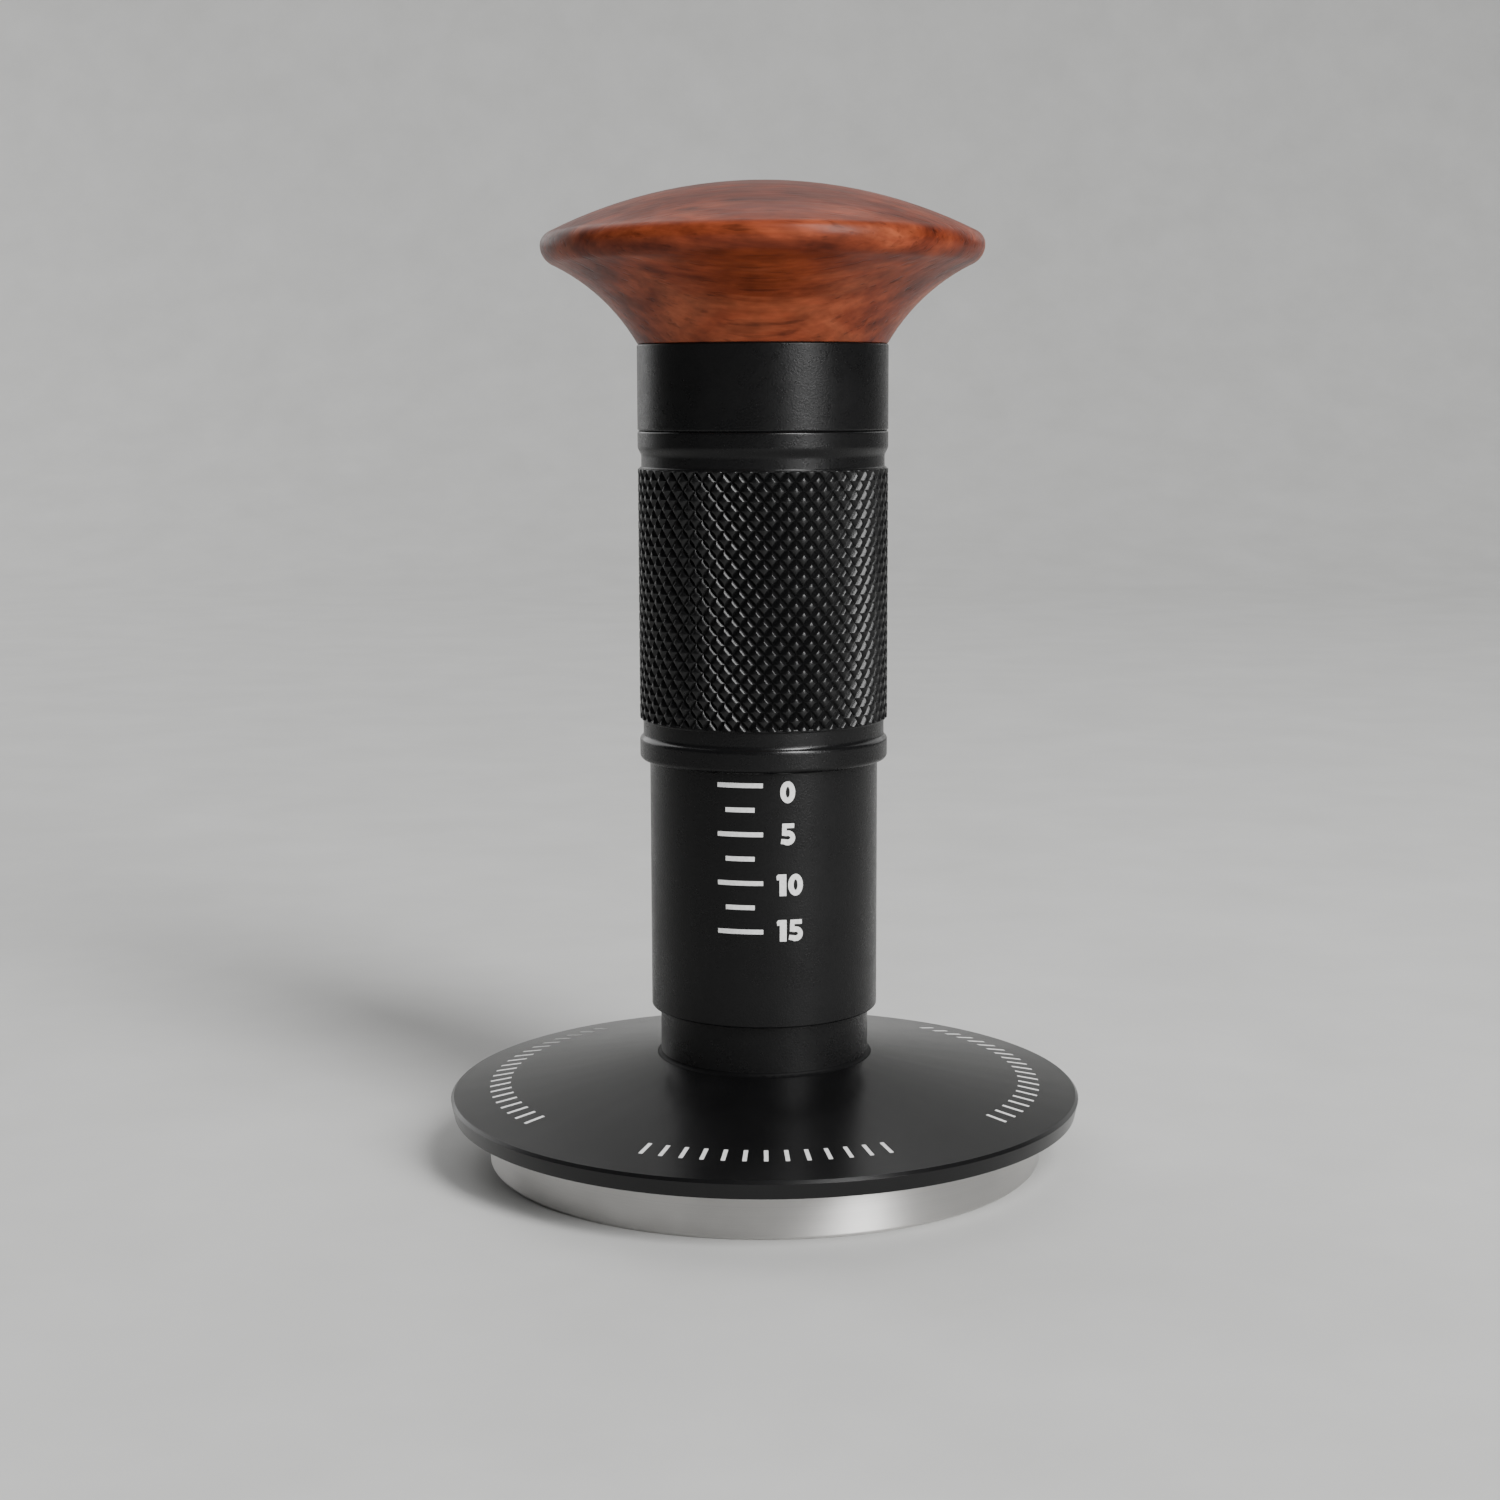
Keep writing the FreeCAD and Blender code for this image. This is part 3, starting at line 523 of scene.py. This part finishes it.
# %% Lathe tree
SPIN_RADIUS = 10 * MM


def new_tree(name, sockets):
    """A geometry tree with named inputs; returns it with its input and output nodes."""
    tree = bpy.data.node_groups.new(name, "GeometryNodeTree")
    for label, kind in {"Geometry": "Geometry", **sockets}.items():
        tree.interface.new_socket(label, in_out="INPUT", socket_type="NodeSocket" + kind)
    tree.interface.new_socket("Geometry", in_out="OUTPUT", socket_type="NodeSocketGeometry")
    return tree, tree.nodes.new("NodeGroupInput").outputs, tree.nodes.new("NodeGroupOutput")


def grow(name, tree, values, start=None):
    """Runs a tree once and keeps its result as a plain mesh object."""
    seed = mesh_object(name + "_seed", start or bpy.data.meshes.new(name + "_seed"))
    modifier = seed.modifiers.new("grow", "NODES")
    modifier.node_group = tree
    sockets = {item.name: item.identifier for item in tree.interface.items_tree
               if item.in_out == "INPUT"}
    for label, value in values.items():
        modifier[sockets[label]] = value
    graph = bpy.context.evaluated_depsgraph_get()
    made = bpy.data.meshes.new_from_object(seed.evaluated_get(graph))
    seed.modifiers.clear()
    bpy.data.objects.remove(seed)
    made.name = name
    return mesh_object(name, made)


def lathe_tree():
    tree, given, result = new_tree("lathe", {"Spin Radius": "Float", "Steps": "Int",
                                             "Weld": "Float", "Material": "Material"})
    profile = add(tree, "GeometryNodeMeshToCurve", {"Mesh": given["Geometry"]})
    path = add(tree, "GeometryNodeCurvePrimitiveCircle", {"Radius": given["Spin Radius"],
               "Resolution": given["Steps"]})
    upright = add(tree, "GeometryNodeSetCurveNormal", {"Curve": path.outputs["Curve"]},
                  mode="Z_UP")
    swept = add(tree, "GeometryNodeCurveToMesh", {"Curve": upright.outputs["Curve"],
                "Profile Curve": profile.outputs["Curve"]})
    welded = add(tree, "GeometryNodeMergeByDistance", {"Geometry": swept.outputs["Mesh"],
                 "Distance": given["Weld"]})
    finish_tree(tree, welded.outputs["Geometry"], given, result)
    return tree


def finish_tree(tree, geometry, given, result):
    """Ends a tree: instances become real geometry, then the material is set."""
    real = add(tree, "GeometryNodeRealizeInstances", {"Geometry": geometry})
    painted = add(tree, "GeometryNodeSetMaterial", {"Geometry": real.outputs["Geometry"],
                  "Material": given["Material"]})
    tree.links.new(painted.outputs["Geometry"], result.inputs["Geometry"])


def outward(piece, sharp=None):
    """Points all faces out of the piece, shades them smooth and counts the open edges."""
    shape = bmesh.new()
    shape.from_mesh(piece.data)
    bmesh.ops.recalc_face_normals(shape, faces=shape.faces)
    open_edges = sum(1 for edge in shape.edges if not edge.is_manifold)
    shape.to_mesh(piece.data)
    shape.free()
    piece.data.shade_smooth()
    if sharp:
        piece.data.set_sharp_from_angle(angle=math.radians(sharp))
    return open_edges


def dress(piece, node):
    """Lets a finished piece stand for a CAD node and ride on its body."""
    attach(piece, BODY_OF[node])
    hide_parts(node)


def lathed(name, points, closed, finish, steps=192):
    """Turns an outline into a piece."""
    seed = bpy.data.meshes.new(name + "_outline")
    flat = [(point.x - SPIN_RADIUS, -point.y, 0) for point in points]
    links = [(index, index + 1) for index in range(len(flat) - 1)]
    if closed:
        links.append((len(flat) - 1, 0))
    seed.from_pydata(flat, links, [])
    piece = grow(name, LATHE, {"Spin Radius": SPIN_RADIUS, "Steps": steps, "Weld": WELD,
                               "Material": finish}, seed)
    open_edges = outward(piece)
    print(name, "has", len(points), "outline points and", open_edges, "open edges")
    return piece


# %% The plain turned pieces
LATHE = lathe_tree()
TURNED = {
    # node: (reach of the rounding in mm, steps round)
    "wood_knob": (0.10, 224),
    "top_collar": (0.06, 192),
    "scale_barrel": (0.10, 192),
    "tamper_base": (0.10, 256),
}
for node, (reach, steps) in TURNED.items():
    points, closed = section_of(node)
    points = eased(straightened(points, closed), closed, reach * MM)
    piece = lathed("look_" + node, points, closed, FINISHES[SLOT_OF[node]], steps)
    dress(piece, node)
    low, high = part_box(node)
    grown = max(piece.dimensions[axis] - (high - low)[axis] for axis in range(3))
    print("    it is larger than the CAD node by", round(grown / MM, 4), "mm")

# %% [markdown]
# ## The levelling flange
#
# The flange has three screw holes in its underside, so it isn't a plain turned shape. Here the
# CAD mesh itself is refined: its flat faces are merged, then every outer edge is bevelled,
# because real machined edges are broken and that thin rounding catches the light. Normals
# weighted by face area keep the wide faces even.

# %% Refined copies


def refined(node, edge_width, finish, flat=0.6, sharp=30):
    """A copy of a CAD node with merged flat faces and eased outer edges."""
    shape = bmesh.new()
    shape.from_mesh(frame["nodes"][node].data)
    bmesh.ops.remove_doubles(shape, verts=shape.verts, dist=WELD)
    bmesh.ops.dissolve_limit(shape, angle_limit=math.radians(flat), verts=shape.verts,
                             edges=shape.edges)
    outer = [edge for edge in shape.edges if edge.is_manifold and edge.is_convex
             and edge.calc_face_angle() > math.radians(sharp)]
    bmesh.ops.bevel(shape, geom=outer, offset=edge_width, segments=3, profile=0.5,
                    affect="EDGES", clamp_overlap=True)
    piece = mesh_from("look_" + node, shape)
    piece.data.shade_smooth()
    piece.data.set_sharp_from_angle(angle=math.radians(40))
    even = piece.modifiers.new("even", "WEIGHTED_NORMAL")
    even.weight = 100
    even.keep_sharp = True
    graph = bpy.context.evaluated_depsgraph_get()
    final = bpy.data.meshes.new_from_object(piece.evaluated_get(graph))
    piece.modifiers.clear()
    piece.data = final
    final.materials.clear()
    final.materials.append(finish)
    print(piece.name, "has", len(outer), "eased edges and", len(final.polygons), "faces")
    return piece


for node, edge in {"levelling_flange": 0.06, "plunger_rod": 0.05}.items():
    dress(refined(node, edge * MM, FINISHES[SLOT_OF[node]]), node)

# %% The neck
# The flange's neck is blasted like the barrel that stands on it, down to the foot's rounding.
NECK_REACH = 16.5 * MM
NECK_FOOT = 10.6 * MM
NECK_WALL = 12.6 * MM
flange = bpy.data.objects["look_levelling_flange"].data
flange.materials.append(FINISHES["black_anodised"])
neck_faces = [face for face in flange.polygons
              if face.center.z > NECK_FOOT and face.center.xy.length < NECK_REACH
              and (face.normal.z < 0.97 or face.center.z > NECK_WALL)]
for face in neck_faces:
    face.material_index = 1

# The cutter can't polish the narrow rounding at the foot, so that stays dull.
FOOT_RADIUS = 11.42 * MM
FOOT_TOP = 11.58 * MM
flange.materials.append(black_finish("dull_foot", 0.50, 0.02 * MM, 5000, 0.06, 0.02))
foot_faces = [face for face in flange.polygons
              if face.center.xy.length < FOOT_RADIUS and face.normal.z > 0.05
              and NECK_FOOT < face.center.z < FOOT_TOP]
for face in foot_faces:
    face.material_index = 2
print("the neck has", len(neck_faces), "faces and its foot", len(foot_faces))

# %% [markdown]
# ## Wrapping flat patterns round the barrel
#
# The knurl, the scale and the numbers are easiest to lay out flat: distance round the tamper as
# X, height as Y and depth as Z. One wrapping step then bends the layout round the axis.

# %% Wrapping


def wrap_nodes(tree, geometry, radius, turn):
    """Bends a flat layout round the Z axis; turn is in radians right of the front."""
    place = add(tree, "GeometryNodeInputPosition").outputs[0]
    x, y, z = add(tree, "ShaderNodeSeparateXYZ", {0: place}).outputs
    angle = sum_up(tree, "ADD", sum_up(tree, "DIVIDE", x, radius), turn)
    reach = sum_up(tree, "ADD", radius, z)
    right = sum_up(tree, "MULTIPLY", reach, sum_up(tree, "SINE", angle))
    back = sum_up(tree, "MULTIPLY", reach, sum_up(tree, "COSINE", angle))
    front = sum_up(tree, "MULTIPLY", back, -1)
    bent = add(tree, "ShaderNodeCombineXYZ", {0: right, 1: front, 2: y}).outputs[0]
    return add(tree, "GeometryNodeSetPosition", {"Geometry": geometry,
               "Position": bent}).outputs["Geometry"]


def wrap_point(point, radius, turn):
    """The same bend for one point of a mesh."""
    angle = point.x / radius + turn
    reach = radius + point.z
    return Vector((reach * math.sin(angle), -reach * math.cos(angle), point.y))


# %% [markdown]
# ## Knurling
#
# Knurling is two sets of opposite spiral grooves pressed into the sleeve for grip. What stays
# between them is a field of small diamonds, worn round at the top. So one diamond is a
# four-sided cone with a curved flank, and the band is fifty of them round, in rows that each
# shift by half a step. The curve matters: it draws each glint out into a thin bright dash.

# %% Knurl tree
KNURL_ROUND = 50
KNURL_RISE = 1.904 * MM
KNURL_DEPTH = 0.34 * MM
KNURL_FLAT = 0.34
KNURL_CURVE = 1.50
KNURL_BEVEL = 0.22 * MM
BAND_WALL = 0.12 * MM
KNURL_LOW = 47.10 * MM
KNURL_HIGH = 72.85 * MM
SLEEVE_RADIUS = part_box("knurled_sleeve")[1].x


def knurl_tree():
    tree, given, result = new_tree("knurl", {"Round": "Int", "Rows": "Int", "Radius": "Float",
                                   "Rise": "Float", "Depth": "Float", "Flat": "Float",
                                   "Curve": "Float", "Bottom": "Float", "Weld": "Float",
                                   "Material": "Material"})
    step = sum_up(tree, "DIVIDE", sum_up(tree, "MULTIPLY", given["Radius"], math.tau),
                  given["Round"])
    half_step, half_rise = (sum_up(tree, "MULTIPLY", step, 0.5),
                            sum_up(tree, "MULTIPLY", given["Rise"], 0.5))
    diamond = add(tree, "GeometryNodeMeshCone", {"Vertices": 4, "Side Segments": 4,
                  "Radius Bottom": 1.0, "Radius Top": given["Flat"], "Depth": 1.0})
    open_below = add(tree, "GeometryNodeDeleteGeometry", {"Geometry": diamond.outputs["Mesh"],
                     "Selection": diamond.outputs["Bottom"]}, domain="FACE")
    flank = add(tree, "ShaderNodeSeparateXYZ",
                {0: add(tree, "GeometryNodeInputPosition").outputs[0]}).outputs
    share = sum_up(tree, "ADD", sum_up(tree, "ABSOLUTE", flank[0]),
                   sum_up(tree, "ABSOLUTE", flank[1]))
    share = rescale(tree, share, given["Flat"], 1.0, 0.0, 1.0)
    rise = sum_up(tree, "MULTIPLY", given["Depth"],
                  sum_up(tree, "SUBTRACT", 1.0, sum_up(tree, "POWER", share, given["Curve"])))
    curved = add(tree, "GeometryNodeSetPosition", {"Geometry": open_below.outputs["Geometry"],
                 "Position": add(tree, "ShaderNodeCombineXYZ",
                                 {0: flank[0], 1: flank[1], 2: rise}).outputs[0]})
    count = sum_up(tree, "MULTIPLY", given["Round"], given["Rows"])
    points = add(tree, "GeometryNodePoints", {"Count": count})
    index = add(tree, "GeometryNodeInputIndex").outputs[0]
    row = sum_up(tree, "FLOOR", sum_up(tree, "DIVIDE", sum_up(tree, "ADD", index, 0.5),
                                       given["Round"]))
    column = sum_up(tree, "SUBTRACT", index, sum_up(tree, "MULTIPLY", row, given["Round"]))
    shift = sum_up(tree, "MULTIPLY", sum_up(tree, "MODULO", row, 2), 0.5)
    x = sum_up(tree, "MULTIPLY", sum_up(tree, "ADD", column, shift), step)
    y = sum_up(tree, "ADD", sum_up(tree, "MULTIPLY", row, half_rise), given["Bottom"])
    z = sum_up(tree, "MULTIPLY", given["Depth"], -1)
    spread = add(tree, "GeometryNodeSetPosition", {"Geometry": points.outputs[0],
                 "Position": add(tree, "ShaderNodeCombineXYZ", {0: x, 1: y, 2: z}).outputs[0]})
    size = add(tree, "ShaderNodeCombineXYZ", {0: half_step, 1: half_rise, 2: 1.0}).outputs[0]
    placed = add(tree, "GeometryNodeInstanceOnPoints", {"Points": spread.outputs["Geometry"],
                 "Instance": curved.outputs["Geometry"], "Scale": size})
    real = add(tree, "GeometryNodeRealizeInstances", {"Geometry": placed.outputs["Instances"]})
    bent = wrap_nodes(tree, real.outputs["Geometry"], given["Radius"], 0.0)
    welded = add(tree, "GeometryNodeMergeByDistance", {"Geometry": bent, "Distance": given["Weld"]})
    finish_tree(tree, welded.outputs["Geometry"], given, result)
    return tree


# %% Knurled band
# Rolling the knurl burnishes it, so it shines a little more than the blasted walls.
KNURL_BLACK = black_finish("burnished_black", 0.26, 0.014 * MM, 5200, 0.30, 0.020)
rows = int((KNURL_HIGH - KNURL_LOW) / (KNURL_RISE / 2)) + 3
band = grow("knurl_band", knurl_tree(), {
    "Round": KNURL_ROUND, "Rows": rows, "Radius": SLEEVE_RADIUS, "Rise": KNURL_RISE,
    "Depth": KNURL_DEPTH, "Flat": KNURL_FLAT, "Curve": KNURL_CURVE,
    "Bottom": KNURL_LOW - 0.5 * KNURL_RISE, "Weld": 0.03 * MM, "Material": KNURL_BLACK})
print("the band has", KNURL_ROUND, "x", rows, "diamonds and", len(band.data.vertices), "points")


def trim_band(piece):
    """Cuts the band off at both ends, slopes its ends and closes it into a ring."""
    shape = bmesh.new()
    shape.from_mesh(piece.data)
    for height, side in ((KNURL_LOW, -1), (KNURL_HIGH, 1)):
        everything = shape.verts[:] + shape.edges[:] + shape.faces[:]
        bmesh.ops.bisect_plane(shape, geom=everything, dist=WELD, plane_co=(0, 0, height),
                               plane_no=(0, 0, side), clear_outer=True)
    inner_radius = SLEEVE_RADIUS - KNURL_DEPTH - BAND_WALL
    middle = (KNURL_LOW + KNURL_HIGH) / 2
    rims = [edge for edge in shape.edges if edge.is_boundary]
    grown = bmesh.ops.extrude_edge_only(shape, edges=rims)["geom"]
    for vert in [item for item in grown if isinstance(item, bmesh.types.BMVert)]:
        vert.co.xy = vert.co.xy.normalized() * inner_radius
        vert.co.z += KNURL_BEVEL if vert.co.z > middle else -KNURL_BEVEL
    rims = [edge for edge in grown if isinstance(edge, bmesh.types.BMEdge) and edge.is_boundary]
    bmesh.ops.bridge_loops(shape, edges=rims)
    shape.to_mesh(piece.data)
    shape.free()


trim_band(band)
open_edges = outward(band, sharp=24)
print("the trimmed band has", open_edges, "open edges")

# %% Sleeve
# Under the knurl the sleeve is turned down, so that the band can stand on it. A low ring is
# left at each end, where the knurling wheels start.
CORE_RADIUS = SLEEVE_RADIUS - KNURL_DEPTH - 0.02 * MM
RING_RADIUS = SLEEVE_RADIUS - 0.18 * MM
RING_OUTSIDE = 0.20 * MM
RING_INSIDE = 0.10 * MM
SLEEVE_EDGE = 0.20 * MM
SLEEVE_EDGE_SHARE = 0.46


def turned_down(points):
    """The sleeve's outline with the knurled length lowered and a ring at each of its ends."""
    result = []
    for index, here in enumerate(points):
        low_end = abs(here.y - KNURL_LOW) < WELD
        if not low_end and abs(here.y - KNURL_HIGH) > WELD or here.x < CORE_RADIUS - 0.1 * MM:
            result.append(here)
            continue
        side = -1 if low_end else 1
        outside = here.y + side * RING_OUTSIDE
        if here.x < CORE_RADIUS + 0.1 * MM:
            result.append(Vector((here.x, outside)))
            continue
        inside = here.y - side * RING_INSIDE
        steps = [(RING_RADIUS, outside), (RING_RADIUS, inside), (CORE_RADIUS, inside)]
        if points[index - 1].x > here.x - WELD:
            steps.reverse()
        result.extend(Vector(step) for step in steps)
    return result


points, closed = section_of("knurled_sleeve")
points = turned_down(straightened(points, closed))
points = eased(points, closed, SLEEVE_EDGE, most=SLEEVE_EDGE_SHARE)
sleeve = lathed("look_knurled_sleeve", points, closed, FINISHES["black_anodised"])
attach(band, "grip")
dress(sleeve, "knurled_sleeve")

# %% Bright edges
# Handling polishes a broken edge first, so faces that lean between upright and flat shine.
EDGE_BLACK = black_finish("polished_edge", 0.20, 0.005 * MM, 5200, 0.40, 0.015)
sleeve.data.materials.append(EDGE_BLACK)
LEAN_LOW = 0.30
LEAN_HIGH = 0.85
leaning = [face for face in sleeve.data.polygons if LEAN_LOW < face.normal.z < LEAN_HIGH]
for face in leaning:
    face.material_index = 1
print(len(leaning), "faces of the sleeve are polished edges")

# %% [markdown]
# ## The depth scale
#
# The barrel carries a scale in millimetres, so the barista can read how far the leveller has
# been pushed back. The lines are printed, so they stand only a hundredth of a millimetre proud.

# %% Scale tree
SCALE_TOP = 41.50 * MM
SCALE_STEP = 2.5 * MM
SCALE_LINES = 7
BARREL_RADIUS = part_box("scale_barrel")[1].x
PRINT_HEIGHT = 0.012 * MM


def scale_tree():
    tree, given, result = new_tree("scale", {"Count": "Int", "Top": "Float", "Step": "Float",
                                   "Long": "Float", "Short": "Float", "Thick": "Float",
                                   "Relief": "Float", "Radius": "Float", "Turn": "Float",
                                   "Material": "Material"})
    line = add(tree, "GeometryNodeMeshCube", {"Size": (1, 1, 1), "Vertices X": 17})
    drop = add(tree, "ShaderNodeCombineXYZ",
               {1: sum_up(tree, "MULTIPLY", given["Step"], -1)}).outputs[0]
    start = add(tree, "ShaderNodeCombineXYZ", {1: given["Top"]}).outputs[0]
    places = add(tree, "GeometryNodeMeshLine", {"Count": given["Count"], "Start Location": start,
                 "Offset": drop}, mode="OFFSET")
    odd = sum_up(tree, "MODULO", add(tree, "GeometryNodeInputIndex").outputs[0], 2)
    cut = sum_up(tree, "MULTIPLY", odd, sum_up(tree, "SUBTRACT", given["Long"], given["Short"]))
    size = add(tree, "ShaderNodeCombineXYZ", {0: sum_up(tree, "SUBTRACT", given["Long"], cut),
               1: given["Thick"], 2: given["Relief"]}).outputs[0]
    placed = add(tree, "GeometryNodeInstanceOnPoints", {"Points": places.outputs["Mesh"],
                 "Instance": line.outputs["Mesh"], "Scale": size})
    real = add(tree, "GeometryNodeRealizeInstances", {"Geometry": placed.outputs["Instances"]})
    bent = wrap_nodes(tree, real.outputs["Geometry"], given["Radius"], given["Turn"])
    finish_tree(tree, bent, given, result)
    return tree


SCALE_TURN = -12.0
ticks = grow("scale_ticks", scale_tree(), {
    "Count": SCALE_LINES, "Top": SCALE_TOP, "Step": SCALE_STEP, "Long": 4.7 * MM,
    "Short": 3.0 * MM, "Thick": 0.48 * MM, "Relief": 2 * PRINT_HEIGHT,
    "Radius": BARREL_RADIUS, "Turn": math.radians(SCALE_TURN), "Material": PRINT})
open_edges = outward(ticks, sharp=30)
print("the ticks have", open_edges, "open edges")
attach(ticks, "leveller")

# %% Digits
# The digits are drawn here as plain bold outlines, in millimetres round their own middle.


def arc(middle, across, tall, start, stop, steps):
    """Points along part of an ellipse; angles in degrees from the +X side."""
    turns = [math.radians(start + (stop - start) * step / steps) for step in range(steps + 1)]
    return [(middle[0] + across * math.cos(turn), middle[1] + tall * math.sin(turn))
            for turn in turns]


ZERO_STEPS = 32
DIGITS = {
    # digit: (half width, rings of points; a second ring is the hole)
    "0": (0.77, [arc((0, 0), 0.77, 1.12, 0, 360, ZERO_STEPS)[:-1],
                 arc((0, 0), 0.21, 0.55, 0, 360, ZERO_STEPS)[:-1]]),
    "1": (0.50, [[(-0.34, 1.11), (0.50, 1.11), (0.50, -1.11), (-0.19, -1.11), (-0.19, 0.55),
                  (-0.45, 0.52), (-0.50, 0.92)]]),
    "5": (0.74, [[(-0.56, 1.11), (0.66, 1.11), (0.66, 0.64), (-0.12, 0.64), (-0.12, 0.40)]
                 + arc((0, -0.36), 0.76, 0.76, 80, -122, 18)
                 + [(-0.72, -0.94), (-0.66, -0.45)]
                 + arc((-0.02, -0.34), 0.28, 0.19, -115, 115, 10) + [(-0.60, -0.10)]]),
}
DIGIT_GAP = 0.20
NUMBER_REACH = 1.6 * MM
NUMBER_SLICE = 0.2 * MM
NUMBERS = {"0": (40.8, 11.4), "5": (36.5, 11.4), "10": (31.3, 12.4), "15": (26.6, 12.4)}


def lay_digit(shape, rings, shift):
    """Adds one flat digit to the layout, moved sideways by shift."""
    loops = [[shape.verts.new(((x + shift) * MM, y * MM, 0)) for x, y in ring] for ring in rings]
    if len(loops) == 1:
        shape.faces.new(loops[0])
        return
    outer, inner = loops
    for index in range(len(outer)):
        after = (index + 1) % len(outer)
        shape.faces.new((outer[index], outer[after], inner[after], inner[index]))


def number(digits, height, turn):
    """One printed number: laid out flat, sliced upright so that it can bend, then wrapped."""
    shape = bmesh.new()
    widths = [2 * DIGITS[digit][0] for digit in digits]
    left = -(sum(widths) + DIGIT_GAP * (len(digits) - 1)) / 2
    for digit, width in zip(digits, widths):
        lay_digit(shape, DIGITS[digit][1], left + width / 2)
        left += width + DIGIT_GAP
    bmesh.ops.triangulate(shape, faces=shape.faces)
    bmesh.ops.solidify(shape, geom=shape.faces[:], thickness=2 * PRINT_HEIGHT)
    middle = sum(vert.co.z for vert in shape.verts) / len(shape.verts)
    place = -NUMBER_REACH
    while place < NUMBER_REACH:
        everything = shape.verts[:] + shape.edges[:] + shape.faces[:]
        bmesh.ops.bisect_plane(shape, geom=everything, plane_co=(place, 0, 0), plane_no=(1, 0, 0))
        place += NUMBER_SLICE
    for vert in shape.verts:
        flat = Vector((vert.co.x, vert.co.y + height, vert.co.z - middle))
        vert.co = wrap_point(flat, BARREL_RADIUS, turn)
    return shape


# %% Numbers


def numbers_piece():
    whole = bmesh.new()
    for digits, (height, turn) in NUMBERS.items():
        shape = number(digits, height * MM, math.radians(turn))
        mesh = bpy.data.meshes.new("number_" + digits)
        shape.to_mesh(mesh)
        shape.free()
        whole.from_mesh(mesh)
    return mesh_from("scale_numbers", whole)


numbers = numbers_piece()
numbers.data.materials.append(PRINT)
open_edges = outward(numbers, sharp=30)
print("the numbers have", open_edges, "open edges")
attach(numbers, "leveller")

# %% [markdown]
# ## Marks on the flange
#
# Three arcs of short radial strokes stand where a maker would print words. They are plain
# graduations, which help the barista see whether the tamper has been turned.

# %% Flange marks
FLANGE_MARKS = {
    # name: (degrees right of the front, strokes)
    "flange_marks_front": (0, 13),
    "flange_marks_left": (-97, 21),
    "flange_marks_right": (97, 21),
}
MARK_STEP = 4.1
MARK_INNER = 27.0 * MM
MARK_OUTER = 29.2 * MM


def cone_height(radius):
    """The height of the flange's top at a radius, read from its outline."""
    points, closed = section_of("levelling_flange")
    best = None
    for index, here in enumerate(points):
        before = points[index - 1]
        low, high = sorted((before, here), key=lambda point: point.x)
        if low.x <= radius <= high.x and high.x - low.x > WELD:
            share = (radius - low.x) / (high.x - low.x)
            height = low.y + share * (high.y - low.y)
            best = height if best is None else max(best, height)
    return best


def marks_tree():
    tree, given, result = new_tree("marks", {"Count": "Int", "Step": "Float", "Turn": "Float",
                                   "Inner": "Float", "Outer": "Float", "Inner Height": "Float",
                                   "Outer Height": "Float", "Thick": "Float", "Relief": "Float",
                                   "Material": "Material"})
    index = add(tree, "GeometryNodeInputIndex").outputs[0]
    middle = sum_up(tree, "MULTIPLY", sum_up(tree, "SUBTRACT", given["Count"], 1), 0.5)
    angle = sum_up(tree, "ADD", given["Turn"],
                   sum_up(tree, "MULTIPLY", sum_up(tree, "SUBTRACT", index, middle),
                          given["Step"]))
    run = sum_up(tree, "SUBTRACT", given["Outer"], given["Inner"])
    fall = sum_up(tree, "SUBTRACT", given["Inner Height"], given["Outer Height"])
    slope = sum_up(tree, "ARCTAN2", fall, run)
    length = sum_up(tree, "SQRT", sum_up(tree, "ADD", sum_up(tree, "MULTIPLY", run, run),
                                         sum_up(tree, "MULTIPLY", fall, fall)))
    radius = sum_up(tree, "MULTIPLY", sum_up(tree, "ADD", given["Inner"], given["Outer"]), 0.5)
    height = sum_up(tree, "MULTIPLY",
                    sum_up(tree, "ADD", given["Inner Height"], given["Outer Height"]), 0.5)
    x = sum_up(tree, "MULTIPLY", radius, sum_up(tree, "SINE", angle))
    y = sum_up(tree, "MULTIPLY", radius, sum_up(tree, "MULTIPLY",
                                                sum_up(tree, "COSINE", angle), -1))
    points = add(tree, "GeometryNodePoints", {"Count": given["Count"], "Position":
                 add(tree, "ShaderNodeCombineXYZ", {0: x, 1: y, 2: height}).outputs[0]})
    stroke = add(tree, "GeometryNodeMeshCube", {"Size": (1, 1, 1)})
    size = add(tree, "ShaderNodeCombineXYZ", {0: length, 1: given["Thick"],
               2: given["Relief"]}).outputs[0]
    round_turn = sum_up(tree, "SUBTRACT", angle, math.pi / 2)
    turns = add(tree, "ShaderNodeCombineXYZ", {1: slope, 2: round_turn}).outputs[0]
    placed = add(tree, "GeometryNodeInstanceOnPoints", {"Points": points.outputs[0],
                 "Instance": stroke.outputs["Mesh"], "Rotation": turns, "Scale": size})
    finish_tree(tree, placed.outputs["Instances"], given, result)
    return tree


MARKS = marks_tree()
for name, (turn, count) in FLANGE_MARKS.items():
    marks = grow(name, MARKS, {
        "Count": count, "Step": math.radians(MARK_STEP), "Turn": math.radians(turn),
        "Inner": MARK_INNER, "Outer": MARK_OUTER, "Inner Height": cone_height(MARK_INNER),
        "Outer Height": cone_height(MARK_OUTER), "Thick": 0.42 * MM, "Relief": 0.03 * MM,
        "Material": PRINT})
    open_edges = outward(marks, sharp=30)
    print(name, "has", open_edges, "open edges")
    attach(marks, "leveller")

# %% [markdown]
# ## Springs
#
# Both springs shorten as the tamper works. The frame keeps their coils at rest, and squash
# presses them together along the axis by the travel of their joint.

# %% Springs
SPRINGS = {
    # node: (joint, fixed end in mm, travel in mm)
    "return_spring": ("leveller_slide", 44.02, 15.0),
    "force_spring": ("grip_slide", 59.80, 6.0),
}
for node, (joint, fixed, travel) in SPRINGS.items():
    low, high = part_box(node)
    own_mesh(frame["nodes"][node])
